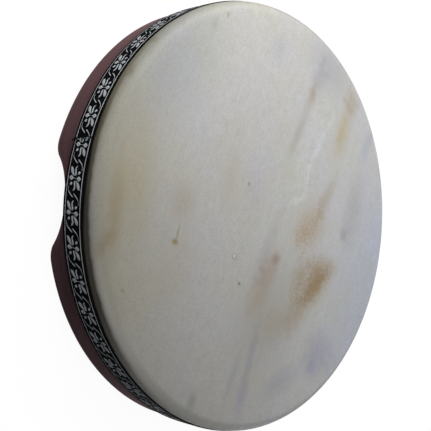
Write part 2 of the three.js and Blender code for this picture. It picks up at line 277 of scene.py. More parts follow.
def end_faces(count, width):
    """The two faces that close a sweep of closed rows: count is its number of points, width a row's."""
    return [tuple(range(width - 1, -1, -1)), tuple(range(count - width, count))]


print("mesh helpers ready")

# %% Section helpers
def arc(centre, radius, start, end, steps):
    """Points of an arc in a (radius, height) section, angles in degrees."""
    turns = [math.radians(start + (end - start) * step / steps) for step in range(steps + 1)]
    return [(centre[0] + radius * math.cos(t), centre[1] + radius * math.sin(t)) for t in turns]


def round_drum(radius, angle, height):
    """The point at a radius, an angle and a height on the drum."""
    return (radius * math.cos(angle), radius * math.sin(angle), height)


def smooth_step(low, high, value):
    """0 at low, 1 at high, with soft ends between them."""
    share = min(max((value - low) / (high - low), 0.0), 1.0)
    return share * share * (3 - 2 * share)


def lengths(section):
    """Distance along a section to each of its points, and round to the first again."""
    run = [0.0]
    for a, b in zip(section, section[1:] + section[:1]):
        run.append(run[-1] + math.dist(a, b))
    return run


print("section helpers ready")

# %% [markdown]
# ## Shell wood
# The shell is one plank of dark hardwood, bent round a former, scarfed to itself, stained red-brown and
# rubbed with oil. The grain therefore runs round the drum: long fine pores, slow bands of tone, and a
# dull, even surface in which the pores stay open and dark. A wood pattern in space would cut through the
# hoop as if it were sawn from a block, so the patterns use the flat map, whose u runs along the plank
# from the scarf. The figure then breaks at the scarf and nowhere else, just as a plank's would.

# %% Material of the shell
PORE_WIDTH = 0.5 * MM
PORE_LENGTH = 18 * MM
PORE_DEPTH = 0.2 * MM
PORE_DARKNESS = 0.45
BAND_WIDTH = 16 * MM
BAND_LENGTH = 160 * MM

stained_hardwood, tree, shader = finish_named("stained_oiled_hardwood")
plank = add(tree, "UVMap", uv_map="flat_map").outputs["UV"]
bands_at = add(tree, "Mapping", {"Vector": plank, "Scale": (1 / BAND_LENGTH, 1 / BAND_WIDTH, 1)}).outputs[0]
bands = {"Vector": bands_at, "Scale": 1.0, "Detail": 3.0, "Distortion": 0.6}
bands = add(tree, "TexNoise", bands).outputs["Fac"]
pores_at = add(tree, "Mapping", {"Vector": plank, "Scale": (1 / PORE_LENGTH, 1 / PORE_WIDTH, 1)}).outputs[0]
pores = {"Vector": pores_at, "Scale": 1.0, "Detail": 2.0, "Roughness": 0.6}
pores = add(tree, "TexNoise", pores).outputs["Fac"]
tone = add(tree, "ValToRGB", {"Fac": bands}, [(0.30, "#6b5055"), (0.72, "#87676c")]).outputs[0]
pore_mask = add(tree, "MapRange", {"Value": pores, "From Min": 0.56, "From Max": 0.72}).outputs[0]
pore_share = add(tree, "Math", {0: pore_mask, 1: PORE_DARKNESS}, operation="MULTIPLY").outputs[0]
wood = {"Factor": pore_share, 6: tone, 7: linear("#35201f")}
wood = add(tree, "Mix", wood, data_type="RGBA").outputs[2]
rough = add(tree, "MapRange", {"Value": pores, "To Min": 0.50, "To Max": 0.62}).outputs[0]
bump = add(tree, "Bump", {"Height": pores, "Strength": 0.12, "Distance": PORE_DEPTH}).outputs[0]
wire(tree, shader, {"Base Color": wood, "Roughness": rough, "Normal": bump, "Specular IOR Level": 0.01})
print("shell wood: pores", PORE_LENGTH, "m long, bands", BAND_WIDTH, "m wide")

# %% [markdown]
# ## The shell
# The frame's hoop has flat facets, which would show on a smooth curve. Here its section is swept round in
# one-degree rows, closer in the scallop. The rear corners are rounded as a hand and a sanding block leave
# them, and that rounding follows the scallop, because each row's rear end is lifted to the bay's own
# curve. The scarf shows as a fine V where the plank's two ends meet, outside and, a scarf's length on,
# inside.

# %% Section of the shell
SEAM_HALF = 0.25 * MM
SEAM_DEPTH = 0.35 * MM
INNER_EASE = 0.6 * MM
NEAR_FACE = 0.5 * MM
FRONT_SINE = -0.9


def scallop_height(x):
    """Height of the rear rim at a distance x from the middle of the grip scallop."""
    reach = SCALLOP_DEPTH - SCALLOP_RADIUS
    lip = math.sqrt((SCALLOP_RADIUS + SCALLOP_CORNER) ** 2 - (SCALLOP_CORNER - reach) ** 2)
    meet = lip * SCALLOP_RADIUS / (SCALLOP_RADIUS + SCALLOP_CORNER)
    x = abs(x)
    if x >= lip:
        return 0.0
    if x >= meet:
        return SCALLOP_CORNER - math.sqrt(SCALLOP_CORNER**2 - (lip - x) ** 2)
    return reach + math.sqrt(SCALLOP_RADIUS**2 - x**2)


def shell_section():
    """(radius, height, lifts with the scallop) round the wall, from the rear rim's inner corner outwards."""
    inner, outer, ease = SHELL_RADIUS - SHELL_WALL, SHELL_RADIUS, RIM_EASE
    rear = arc((inner + ease, ease), ease, 180, 270, 5) + arc((outer - ease, ease), ease, 270, 360, 5)
    wall = [(outer, SHELL_DEPTH * share) for share in (0.45, 0.6, 0.75)]
    bearing = arc((outer - BEARING_ROUND, SHELL_DEPTH - BEARING_ROUND), BEARING_ROUND, 0, 90, 10)
    lip = arc((inner + INNER_EASE, SHELL_DEPTH - INNER_EASE), INNER_EASE, 90, 180, 3)
    back = [(inner, SHELL_DEPTH * share) for share in (0.75, 0.6, 0.45)]
    return [(r, z, True) for r, z in rear] + [(r, z, False) for r, z in wall + bearing + lip + back]


def shell_turns():
    """Angles of the rows from the scarf on: closer in the scallop, and three in each seam."""
    groove = SEAM_HALF / SHELL_RADIUS
    front = -math.pi / 2
    angles = {math.radians(degree) for degree in range(-180, 180)}
    angles |= {front + math.radians(step / 3) for step in range(-45, 46)}
    for seam in (SCARF_SEAM, SCARF_SEAM + SCARF_SWEEP):
        angles = {a for a in angles if abs(a - seam) > 3 * groove}
        angles |= {seam - groove, seam, seam + groove}
    return sorted((a - SCARF_SEAM) % (2 * math.pi) for a in angles)


print("shell section", len(shell_section()), "points, swept in", len(shell_turns()), "rows")

# %% Shell mesh
def shell_hoop():
    """The hoop: its section swept round, lifted in the scallop and cut in at the two seams of the scarf."""
    section = shell_section()
    turns = shell_turns()
    rows = []
    for turn in turns:
        angle = SCARF_SEAM + turn
        row = []
        for radius, height, lifts in section:
            outside = radius > SHELL_RADIUS - NEAR_FACE and turn == 0
            inside = radius < SHELL_RADIUS - SHELL_WALL + NEAR_FACE and abs(turn - SCARF_SWEEP) < 1e-9
            radius += SEAM_DEPTH * (inside - outside)
            lift = 0.0
            if lifts and math.sin(angle) < FRONT_SINE:
                lift = scallop_height(radius * math.cos(angle))
            row.append(round_drum(radius, angle, height + lift))
        rows.append(row)
    along = [turn * SHELL_RADIUS for turn in turns] + [2 * math.pi * SHELL_RADIUS]
    across = lengths([(radius, height) for radius, height, _ in section])
    points, faces, flat_map = swept(rows, True, True, along, across)
    return piece("shell_bent_plank", points, faces, flat_map, sharp=60)


shell = shell_hoop()
shell.data.materials.append(stained_hardwood)
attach(shell, "drum")
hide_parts("shell_hoop")
print("shell", len(shell.data.polygons), "faces")

# %% [markdown]
# ## Goatskin
# The head is rawhide: a scraped goatskin, glued on wet and dried drum-tight. It is a pale grey parchment
# with hardly any gloss, and not one colour: fine pores, fibres that lie one way, a mottle, and wide
# clouds. Nothing of this repeats, so it is made from noises of different real sizes: the widest gives the
# ground its colour, and each finer one multiplies it by a faint tint. The skin is also painted a little
# darker towards +X and the front, past a slightly curved line: that is painted shade, the fall-off of the
# light across the head.

# %% Ground of the skin
CLOUD = 55 * MM
MOTTLE = 9 * MM
PORE = 1.6 * MM
FIBRE_LENGTH = 15 * MM
FIBRE_WIDTH = 3 * MM
FIBRE_TURN = math.radians(-24)
PAINTED_SHADE_WAY = (0.46, -0.67, 0)
PAINTED_SHADE_CURVE = -5.0

rawhide, tree, shader = finish_named("scraped_goat_rawhide")
place = add(tree, "TexCoord").outputs["Object"]
axes = add(tree, "SeparateXYZ", {0: place}).outputs
clouds = add(tree, "TexNoise", {"Vector": place, "Scale": 1 / CLOUD, "Detail": 2.0}).outputs["Fac"]
mottle = add(tree, "TexNoise", {"Vector": place, "Scale": 1 / MOTTLE, "Detail": 4.0}).outputs["Fac"]
grain = add(tree, "TexNoise", {"Vector": place, "Scale": 1 / PORE, "Detail": 3.0}).outputs["Fac"]
lie = {"Vector": place, "Rotation": (0, 0, FIBRE_TURN), "Scale": (FIBRE_LENGTH, FIBRE_WIDTH, 1)}
fibres_at = add(tree, "Mapping", lie, vector_type="TEXTURE").outputs[0]
fibres = {"Vector": fibres_at, "Scale": 1.0, "Detail": 3.0, "Distortion": 1.2}
fibres = add(tree, "TexNoise", fibres).outputs["Fac"]

colour = add(tree, "ValToRGB", {"Fac": clouds}, [(0.30, "#dadad4"), (0.70, "#dbdbdf")]).outputs[0]
# Painted shade: a ramp that darkens the head towards +X and the front, bent a little by x times y.
flank = add(tree, "VectorMath", {0: place, 1: PAINTED_SHADE_WAY}, operation="DOT_PRODUCT").outputs["Value"]
bend = add(tree, "Math", {0: axes["X"], 1: axes["Y"]}, operation="MULTIPLY").outputs[0]
flank = add(tree, "Math", {0: bend, 1: PAINTED_SHADE_CURVE, 2: flank}, operation="MULTIPLY_ADD").outputs[0]

fields = [
    # field, where its tint begins, where it is full, the tint
    # painted shade towards +X and the front
    (flank, -0.16, 0.22, "#cccbc9"),
    (mottle, 0.30, 0.80, "#f6f5f2"),
    (grain, 0.42, 0.72, "#f0efec"),
    (fibres, 0.45, 0.80, "#f8f8f6"),
]
for field, low, high, tint in fields:
    mask = add(tree, "MapRange", {"Value": field, "From Min": low, "From Max": high}).outputs[0]
    tinted = {"Factor": mask, 6: colour, 7: linear(tint)}
    colour = add(tree, "Mix", tinted, data_type="RGBA", blend_type="MULTIPLY").outputs[2]
print("skin ground: clouds, mottle and pores of", CLOUD, MOTTLE, PORE, "m")

# %% [markdown]
# The marks of the animal and of use follow. Its back leaves brown patches, and dye and damp leave blue and
# yellow clouds. The pale creases are painted highlights: ridges in the skin, drawn as pale lines where
# they catch the light. Two wide grey marks, one over the +X side and one at the front of the -X side, are
# painted shade, and a wide cool tint along the far edge is a painted reflection. A painted picture of them
# would be quick, but it would fix one resolution, so each mark is one soft, ragged ellipse with a name. It
# has a middle and two half-sizes in millimetres on the head, a turn in degrees, the dye that it leaves, how
# ragged its rim is, and how much the rim breaks up into speckles. A dye multiplies the ground, so the
# mottle still shows through it. The creases and one pale pit are lighter than the ground, so they are
# mixed in, and their last number is how much of them shows.

# %% Marks of the animal and of use
MARKS = [
    ("brown_back_patch", (58, 72), (34, 22), -50, "#e7d7c0", 0.35, 1.1),
    ("brown_back_core", (62, 75), (26, 12), -50, "#e4d4bb", 0.35, 0.8),
    ("brown_back_left", (46, 80), (15, 22), -20, "#eee5d5", 0.5, 1.4),
    ("brown_back_top", (43, 99), (9, 12), 0, "#f3ece0", 0.6, 1.8),
    ("brown_back_foot", (52, 51), (22, 14), -30, "#f1e8da", 0.6, 1.8),
    ("brown_back_tail", (86, 49), (32, 15), -48, "#efe5d8", 0.6, 1.4),
    ("brown_back_haze", (98, 18), (30, 20), -70, "#fbf6ec", 0.8, 0.8),
    ("tan_speckle", (5, 64), (27, 20), -45, "#f1e2cd", 0.7, 2.8),
    ("tan_speckle_end", (15, 50), (15, 12), -30, "#f5e9da", 0.7, 2.6),
    ("tan_speckle_tail", (-20, 83), (34, 9), -32, "#ede5d6", 1.0, 1.4),
    ("tan_flank_streak", (-97, 108), (43, 13), -20, "#f8f0df", 0.9, 1.6),
    ("tan_flank_heart", (-88, 103), (20, 7), -18, "#faf3dd", 0.9, 1.6),
    ("tan_flank_head", (-121, 117), (15, 13), 0, "#eee6de", 0.9, 1.6),
    ("grey_flank_streak", (-106, 48), (54, 6.5), -24, "#f3f0ec", 1.0, 1.4),
    ("grey_flank_spot", (-120, 54), (10, 6), -20, "#f4ecdc", 0.8, 1.4),
    ("grey_flank_end", (-75, 34), (24, 6), -30, "#f4f2f0", 0.9, 1.2),
    ("lilac_flank", (-150, 81), (26, 40), -25, "#ecedf2", 1.0, 0.8),
    ("lilac_flank_low", (-136, 65), (30, 12), -28, "#f3f2f5", 1.0, 0.8),
    ("blue_flank_cloud", (-154, 4), (18, 13), -30, "#f5f6fa", 0.9, 0.5),
    ("blue_flank_edge", (-84, 149), (26, 9), -28, "#eef0fa", 0.7, 0.4),
    ("rust_spot", (37, 15), (7, 7), 0, "#e7d8ce", 0.3, 1.2),
    ("rust_haze", (45, 6), (21, 14), -35, "#f2e8e1", 0.6, 0.6),
    ("rust_trail", (66, -4), (29, 14), -32, "#f5eadf", 0.6, 1.4),
    ("dusk_trail", (25, 3), (46, 8), -28, "#f4f3f2", 0.6, 0.3),
    ("lilac_middle", (-23, -20), (34, 17), -15, "#fbf9ff", 0.9, 0.6),
    ("tan_middle", (-31, -50), (26, 12), -10, "#faf6f0", 0.9, 1.4),
    ("brown_nick", (27, -110), (3.2, 4.6), -15, "#d2c196", 0.3, 0.3),
    ("brown_nick_tail", (19.5, -107.3), (8, 1.3), -14, "#ded2b6", 0.2, 0.2),
    ("dark_pit", (60, -32), (2.1, 2.1), 0, "#b4b4ac", 0.1, 0.0),
    ("ringed_pit", (36.5, -40), (3.4, 3.4), 0, "#cfcfc2", 0.1, 0.0),
    ("blue_pit", (-27.1, -27), (2.6, 2.2), 0, "#cfd2dd", 0.1, 0.0),
    ("flank_pit", (-167, -65), (3.2, 1.8), -20, "#dadbd9", 0.2, 0.2),
    ("flank_smudge", (-156, -80), (7, 5), -20, "#eeeeec", 0.6, 0.8),
    ("shoulder_smudge_far", (-131, -139), (5, 2), -43, "#e2ddd2", 0.6, 1.8),
    ("shoulder_smudge_near", (-101, -161), (7, 2), -32, "#e4dfd4", 0.6, 1.8),
    ("front_pit", (66, -160), (2.0, 2.0), 0, "#dddfd8", 0.1, 0.0),
    ("grey_smudge", (9, 117), (9, 7), 30, "#e7e5ea", 0.9, 0.8),
    ("grey_smudge_haze", (-16, 130), (48, 17), -14, "#efedef", 0.8, 0.5),
    ("green_smudge", (157, -80), (10, 6), -20, "#e2e5de", 0.8, 0.8),
    ("pink_cloud", (-5, -103), (19, 16), 0, "#f6eee6", 0.9, 0.9),
    ("pink_cloud_end", (44, -105), (34, 22), -30, "#fdf8f6", 0.9, 0.9),
    ("blue_cloud", (126, 85), (24, 27), -20, "#e7e7f4", 0.9, 0.6),
    ("blue_cloud_heart", (140, 74), (13, 13), 0, "#f0effa", 0.7, 0.6),
    ("blue_streak", (129, -13), (46, 6), -14, "#eeedf8", 0.7, 0.6),
    ("blue_streak_end", (158, -21), (18, 10), -10, "#f2f0fb", 0.6, 0.4),
    ("blue_streak_echo", (141, -34), (30, 5), -22, "#f1f0fa", 0.7, 0.4),
    ("lilac_streak", (149, 32), (34, 13), -68, "#eeecf7", 0.7, 0.5),
    # painted shade: a wide grey darkening over the +X side
    ("painted_shade_back", (86, 12), (70, 48), -35, "#ecebe9", 0.6, 0.2),
    ("yellow_front_band", (-14, -158), (78, 25), -4, "#f8f3e9", 0.5, 0.8),
    ("yellow_front_edge", (6, -172), (44, 10), -4, "#efe8da", 0.5, 0.8),
    ("yellow_front_drip", (33, -181), (18, 7), -38, "#f0e9dc", 0.8, 0.9),
    # painted shade: a wide grey darkening at the front of the -X side
    ("painted_shade_front_left", (-124, -126), (84, 52), -40, "#e6e9ed", 0.3, 0.0),
    # painted reflection: a cool cast along the far edge, as of a cool light mirrored in the head
    ("painted_cool_reflection", (59, 172), (160, 78), -20, "#ecf1ff", 0.4, 0.0),
    ("warm_front_edge", (10, -158), (160, 58), 4, "#f6f4ea", 0.4, 0.0),
]
# The crease entries are painted highlights, pale lines where ridges of the skin catch the light; the last is
# a pale pit.
CREASES = [
    ("crease_highlight_haze", (-70, 54), (58, 16), -26, 0.10),
    ("crease_highlight_start", (-98, 86), (10, 3.2), -48, 0.16),
    ("crease_highlight_bend", (-83, 75), (13, 3.6), -28, 0.22),
    ("crease_highlight_run", (-64, 63), (16, 3.6), -38, 0.24),
    ("crease_highlight_middle", (-41, 55), (17, 3.8), -10, 0.20),
    ("crease_highlight_turn", (-23, 50), (9, 3.6), -30, 0.20),
    ("crease_highlight_end", (-17, 39), (10, 5), -72, 0.22),
    ("pale_pit_middle", (36.5, -40), (1.7, 1.7), 0, 0.6),
]
print("skin:", len(MARKS), "marks and", len(CREASES), "pale places")

# %% [markdown]
# A mark's ellipse is a distance: a Mapping node moves, turns and scales the place on the head, until the
# rim of the ellipse lies one unit from its middle. The mottle and the pores then push that distance in
# and out, which tears the rim, and a smooth step turns it to a share of dye.

# %% Marks laid on the ground
MARK_FAINT = 1.3
MARK_FULL = 0.05
MOTTLE_PUSH = 1.6
PORE_PUSH = 1.2
CREASE_RAGGEDNESS = 0.9
CREASE_SPECKLING = 0.5
CREASE_HIGHLIGHT_AND_PIT_TINT = "#eff1f4"

ragged = add(tree, "Math", {0: mottle, 1: -0.5}, operation="ADD").outputs[0]
speckle = add(tree, "Math", {0: grain, 1: -0.5}, operation="ADD").outputs[0]


def mark_mask(name, middle, halves, turn, raggedness, speckling):
    """How much of a mark lies at each place: a soft ragged ellipse whose rim breaks up into speckles."""
    spot = {"Location": (middle[0] * MM, middle[1] * MM, SKIN_TOP), "Rotation": (0, 0, math.radians(turn))}
    spot |= {"Vector": place, "Scale": (halves[0] * MM, halves[1] * MM, 1)}
    local = add(tree, "Mapping", spot, vector_type="TEXTURE", label=name).outputs[0]
    away = add(tree, "VectorMath", {0: local}, operation="LENGTH").outputs["Value"]
    for field, push in ((ragged, raggedness * MOTTLE_PUSH), (speckle, speckling * PORE_PUSH)):
        away = add(tree, "Math", {0: field, 1: push, 2: away}, operation="MULTIPLY_ADD").outputs[0]
    soft = {"Value": away, "From Min": MARK_FAINT, "From Max": MARK_FULL}
    return add(tree, "MapRange", soft, interpolation_type="SMOOTHSTEP").outputs[0]


for name, middle, halves, turn, dye, raggedness, speckling in MARKS:
    mask = mark_mask(name, middle, halves, turn, raggedness, speckling)
    dyed = {"Factor": mask, 6: colour, 7: linear(dye)}
    colour = add(tree, "Mix", dyed, data_type="RGBA", blend_type="MULTIPLY").outputs[2]
# Painted highlights of the crease ridges, and the pale pit, mixed in as a light tint.
for name, middle, halves, turn, strength in CREASES:
    mask = mark_mask(name, middle, halves, turn, CREASE_RAGGEDNESS, CREASE_SPECKLING)
    mask = add(tree, "Math", {0: mask, 1: strength}, operation="MULTIPLY").outputs[0]
    raised = {"Factor": mask, 6: colour, 7: linear(CREASE_HIGHLIGHT_AND_PIT_TINT)}
    colour = add(tree, "Mix", raised, data_type="RGBA").outputs[2]
print("skin: largest mark", max(2 * max(halves) for _, _, halves, *_ in MARKS), "mm long")

# %% [markdown]
# ## The rim of the skin
# The rounded edge, where the skin turns over the bearing edge, is a little darker on the -X side. On the
# far half it is much darker: that is painted shade, a dark line where the round turns away from the light.
# In front, where the drum is held, grime darkens the last of the flat skin. Each of these is a share that
# grows along an axis of the drum, times the share of the place on the round or on the flat, and it dyes
# the skin as the marks do.

# %% Grime and painted shade on the rim
ROUND_BEGINS = SKIN_TOP - 0.3 * MM
ROUND_FULL = SKIN_TOP - 4 * MM

height = axes["Z"]
on_round = {"Value": height, "From Min": ROUND_BEGINS, "From Max": ROUND_FULL}
on_round = add(tree, "MapRange", on_round).outputs[0]
on_flat = add(tree, "Math", {0: 1.0, 1: on_round}, operation="SUBTRACT").outputs[0]
aside = add(tree, "MapRange", {"Value": axes["X"], "From Min": 0.0, "From Max": -0.13}).outputs[0]
at_back = add(tree, "MapRange", {"Value": axes["Y"], "From Min": -0.01, "From Max": 0.06}).outputs[0]
at_front = add(tree, "MapRange", {"Value": axes["Y"], "From Min": -0.150, "From Max": -0.185}).outputs[0]
from_axis = add(tree, "VectorMath", {0: place, 1: (1, 1, 0)}, operation="MULTIPLY").outputs[0]
from_axis = add(tree, "VectorMath", {0: from_axis}, operation="LENGTH").outputs["Value"]
near_rim = add(tree, "MapRange", {"Value": from_axis, "From Min": 0.166, "From Max": 0.183}).outputs[0]
held = add(tree, "Math", {0: near_rim, 1: at_front}, operation="MULTIPLY").outputs[0]

# The second entry is painted shade on the round of the far half; the first darkens the -X round, the third
# is grime in front.
rim_grime_and_shade = [(aside, on_round, "#e2e1dc"), (at_back, on_round, "#9a9a9b"), (held, on_flat, "#ebeae4")]
for side, part, dye in rim_grime_and_shade:
    share = add(tree, "Math", {0: side, 1: part}, operation="MULTIPLY").outputs[0]
    dyed = {"Factor": share, 6: colour, 7: linear(dye)}
    colour = add(tree, "Mix", dyed, data_type="RGBA", blend_type="MULTIPLY").outputs[2]
print("grime begins", round(SKIN_TOP - ROUND_BEGINS, 5), "m under the top of the skin")

# %% [markdown]
# Below the round the skin is glued to dark wood. Wet hide glue makes rawhide clear, so the wood shows
# through and turns it olive, with a ragged upper limit. The skin was pulled harder on the +X side, and
# the glue climbs higher there. It is thick in front and behind, and thins out towards the two sides, the
# more so at -X. Just above the braid in front lies a painted shadow, where the braid's upper edge stands
# off the skin.

# %% Skin over glued wood, and a painted shadow
GLUE_BEGINS = SKIN_TOP - 4.9 * MM
GLUE_FULL = SKIN_TOP - 9.3 * MM
GLUE_RAGGED = 3 * MM
GLUE_LOWER = 0.9 * MM
GLUE_HIGHER = -1.5 * MM
BRAID_EDGE_SHADOW_AT = (-14 * MM, -SKIN_RADIUS, BRAID_TOP)
BRAID_EDGE_SHADOW_HALF = (40 * MM, 14 * MM, 3 * MM)

pull = {"Value": axes["X"], "From Min": -0.06, "From Max": 0.13}
pull |= {"To Min": GLUE_LOWER, "To Max": GLUE_HIGHER}
pull = add(tree, "MapRange", pull).outputs[0]
pulled = add(tree, "Math", {0: height, 1: pull}, operation="ADD").outputs[0]
uneven = add(tree, "Math", {0: ragged, 1: GLUE_RAGGED, 2: pulled}, operation="MULTIPLY_ADD").outputs[0]
glued = {"Value": uneven, "From Min": GLUE_BEGINS, "From Max": GLUE_FULL}
glued = add(tree, "MapRange", glued, interpolation_type="SMOOTHSTEP").outputs[0]
off_side = add(tree, "Math", {0: axes["Y"]}, operation="ABSOLUTE").outputs[0]
thick = add(tree, "MapRange", {"Value": off_side, "From Min": 0.09, "From Max": 0.17}).outputs[0]
glued = add(tree, "Math", {0: glued, 1: thick}, operation="MULTIPLY").outputs[0]
thin_glue = add(tree, "MapRange", {"Value": axes["X"], "From Min": 0.0, "From Max": -0.15}).outputs[0]
olive = {"Factor": thin_glue, 6: linear("#423c31"), 7: linear("#9a937d")}
olive = add(tree, "Mix", olive, data_type="RGBA").outputs[2]
colour = add(tree, "Mix", {"Factor": glued, 6: colour, 7: olive}, data_type="RGBA").outputs[2]

# Painted shadow: the skin darkens just above the braid in front, where its upper edge stands off the skin.
run = {"Vector": place, "Location": BRAID_EDGE_SHADOW_AT, "Scale": BRAID_EDGE_SHADOW_HALF}
run = add(tree, "Mapping", run, vector_type="TEXTURE", label="painted_braid_edge_shadow").outputs[0]
run = add(tree, "VectorMath", {0: run}, operation="LENGTH").outputs["Value"]
run = add(tree, "MapRange", {"Value": run, "From Min": 1.0, "From Max": 0.5}).outputs[0]
run = {"Factor": run, 6: colour, 7: linear("#4a463c")}
colour = add(tree, "Mix", run, data_type="RGBA", blend_type="MULTIPLY").outputs[2]
print("skin over wood from", round(GLUE_BEGINS, 4), "m down")

# %% [markdown]
# Between the front and the +X side the round above the glued part is painted paler: that is painted
# light, which lifts the rounded edge where it turns away from the lamps. With that the colour is complete.
# The surface is nearly matt: the mottle makes it now smoother, now rougher, and mottle and pores together
# raise it a little.

# %% Painted light on the edge, and surface of the skin
LIT_EDGE_WAY = (0.766, -0.643, 0)
EDGE_FULL = SKIN_TOP - 2.4 * MM
EDGE_LIGHT_SHARE = 0.5
PORE_RISE = 0.35
SKIN_RELIEF = 0.4 * MM

# Painted light: between the front and +X the round above the glue is mixed part way to a pale tint.
toward_lit_edge = add(tree, "VectorMath", {0: place, 1: LIT_EDGE_WAY}, operation="DOT_PRODUCT").outputs["Value"]
painted_edge_light = add(tree, "MapRange", {"Value": toward_lit_edge, "From Min": 0.135, "From Max": 0.172}).outputs[0]
on_edge = add(tree, "MapRange", {"Value": height, "From Min": SKIN_TOP, "From Max": EDGE_FULL}).outputs[0]
above_glue = add(tree, "Math", {0: 1.0, 1: glued}, operation="SUBTRACT").outputs[0]
for share in (on_edge, above_glue, EDGE_LIGHT_SHARE):
    painted_edge_light = add(tree, "Math", {0: painted_edge_light, 1: share}, operation="MULTIPLY").outputs[0]
worn = {"Factor": painted_edge_light, 6: colour, 7: linear("#e6e5de")}
colour = add(tree, "Mix", worn, data_type="RGBA").outputs[2]
polish = add(tree, "MapRange", {"Value": mottle, "To Min": 0.48, "To Max": 0.66}).outputs[0]
relief = add(tree, "Math", {0: grain, 1: PORE_RISE, 2: mottle}, operation="MULTIPLY_ADD").outputs[0]
bump = add(tree, "Bump", {"Height": relief, "Strength": 0.10, "Distance": SKIN_RELIEF}).outputs[0]
wire(tree, shader, {"Base Color": colour, "Roughness": polish, "Normal": bump, "Specular IOR Level": 0.15})
print("skin material:", len(tree.nodes), "nodes")

# %% [markdown]
# ## The head
# The skin is one thin sheet: flat across the drum, round over the bearing edge, and down the side to end
# under the braid. It could be draped by a cloth simulation, but it is drum-tight, so its shape follows
# from the shell, and it is swept as a closed sheet of its real thickness. On the side it was pulled down
# while wet, and small gathers stay in it there, so the side is not a perfect cylinder.

# %% Head mesh
GATHER = 0.07 * MM
GATHER_WAVES = [(1.0, 23, 0.7), (0.7, 41, 2.1), (0.5, 67, 4.0)]


def gather(angle, height):
    """Small gathers of the skin on the drum's side, which fade out over the round and under the braid."""
    waves = sum(size * math.sin(count * angle + start) for size, count, start in GATHER_WAVES)
    below_round = smooth_step(SKIN_TOP - 2 * MM, SKIN_TOP - 12 * MM, height)
    above_braid = smooth_step(BRAID_TOP - 3 * MM, BRAID_TOP + 4 * MM, height)
    return GATHER * waves * below_round * above_braid


def skin_head():
    """The head: its section swept round in one-degree rows, with a fan of faces in the middle."""
    edge, start = SHELL_RADIUS - BEARING_ROUND, SHELL_DEPTH - BEARING_ROUND
    inside, underside = SKIN_RADIUS - SKIN_THICKNESS, SKIN_TOP - SKIN_THICKNESS
    flat = [share * edge for share in (0.12, 0.3, 0.5, 0.7, 0.85, 0.94)]
    outer_round = arc((edge, start), SKIN_RADIUS - edge, 90, 0, 14)
    inner_round = arc((edge, start), inside - edge, 0, 90, 14)
    outer_wall = [(SKIN_RADIUS, start + (SKIN_FLAP_END - start) * share) for share in (0.2, 0.45, 0.7, 1.0)]
    inner_wall = [(inside, height) for _, height in outer_wall[::-1]]
    section = [(radius, SKIN_TOP) for radius in flat] + outer_round + outer_wall
    section += inner_wall + inner_round + [(radius, underside) for radius in flat[::-1]]
    turns = [math.radians(degree) for degree in range(360)]
    rows = [[round_drum(r + gather(turn, z), turn, z) for r, z in section] for turn in turns]
    points, faces, _ = swept(rows, True, False)
    width, count = len(section), len(points)
    points += [(0, 0, SKIN_TOP), (0, 0, underside)]
    for i in range(len(turns)):
        k = (i + 1) % len(turns)
        faces.append((count, k * width, i * width))
        faces.append((count + 1, i * width + width - 1, k * width + width - 1))
    return piece("skin_goat_head", points, faces, sharp=70)


head = skin_head()
head.data.materials.append(rawhide)
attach(head, "drum")
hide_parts("skin_head")

# %% [markdown]
# ## The woven braid
# The braid is a figured ribbon: a black cotton ground with ribs across it, and a vine in silver-grey
# satin that floats on top of the ground. A flat picture of the vine would look printed, so ground and
# vine are separate. The ground is a strip with rounded selvedges that goes once round the drum and laps
# over its own start. The ribbon was not laid quite true: it dips by two millimetres over the scallop, it
# wavers a little, and its last end climbs onto the first, so that the borders miss each other at the lap.

# %% Path of the braid
BRAID_THICKNESS = 0.7 * MM
BRAID_RADIUS = SKIN_RADIUS + GLUE_LINE
BRAID_FACE_RADIUS = BRAID_RADIUS + BRAID_THICKNESS
BRAID_MIDDLE = (BRAID_BOTTOM + BRAID_TOP) / 2
BRAID_HALF = (BRAID_TOP - BRAID_BOTTOM) / 2
BRAID_FIRST_END = math.radians(-108.75)
BRAID_LAST_END = math.radians(360 - 104.2)
BRAID_CLIMB = 0.2 * MM
BRAID_DIP = 2.0 * MM
BRAID_DIP_AT = -88
BRAID_DIP_SPAN = (28, 62)
BRAID_WAVER = 0.3 * MM
BRAID_WAVERS = 5
BRAID_WAVER_AT = math.radians(-108)
LAP_CLIMB = 0.11


def on_braid(angle, across, rise):
    """A point of the braid: angle round the drum, distance from its middle line, height over its back."""
    to_lap = angle - BRAID_FIRST_END - 2 * math.pi
    lap = smooth_step(-LAP_CLIMB, 0.0, to_lap) * (BRAID_THICKNESS + GLUE_LINE)
    share = (angle - BRAID_FIRST_END) / (BRAID_LAST_END - BRAID_FIRST_END)
    from_dip = abs((math.degrees(angle) - BRAID_DIP_AT + 180) % 360 - 180)
    wander = BRAID_CLIMB * (share - 0.5) + BRAID_DIP * smooth_step(*BRAID_DIP_SPAN, from_dip) + lap
    wander += BRAID_WAVER * math.cos(BRAID_WAVERS * (angle - BRAID_WAVER_AT))
    return round_drum(BRAID_RADIUS + lap + rise, angle, BRAID_MIDDLE + wander + across)


def along_braid(angle):
    """Length of braid from its first end to an angle."""
    return (angle - BRAID_FIRST_END) * BRAID_FACE_RADIUS


print("braid", round(along_braid(BRAID_LAST_END), 4), "m long")

# %% [markdown]
# The ground of the ribbon has ribs 0.9 mm apart, each a row of tight weft over a thick warp thread. They
# are just too fine for the picture, so they are there as a bump and a slight change of tone. Cotton
# scatters light at every angle, hence the high roughness and the low specular level. A Wave texture makes
# 20 / (2 pi) waves in each unit, which its scale takes back to one wave in each rib.

# %% Cotton of the braid
RIB = 0.9 * MM
RIB_RELIEF = 0.2 * MM
LINT_LENGTH = 2 * MM
LINT_WIDTH = 5 * MM
ONE_WAVE = 2 * math.pi / 20

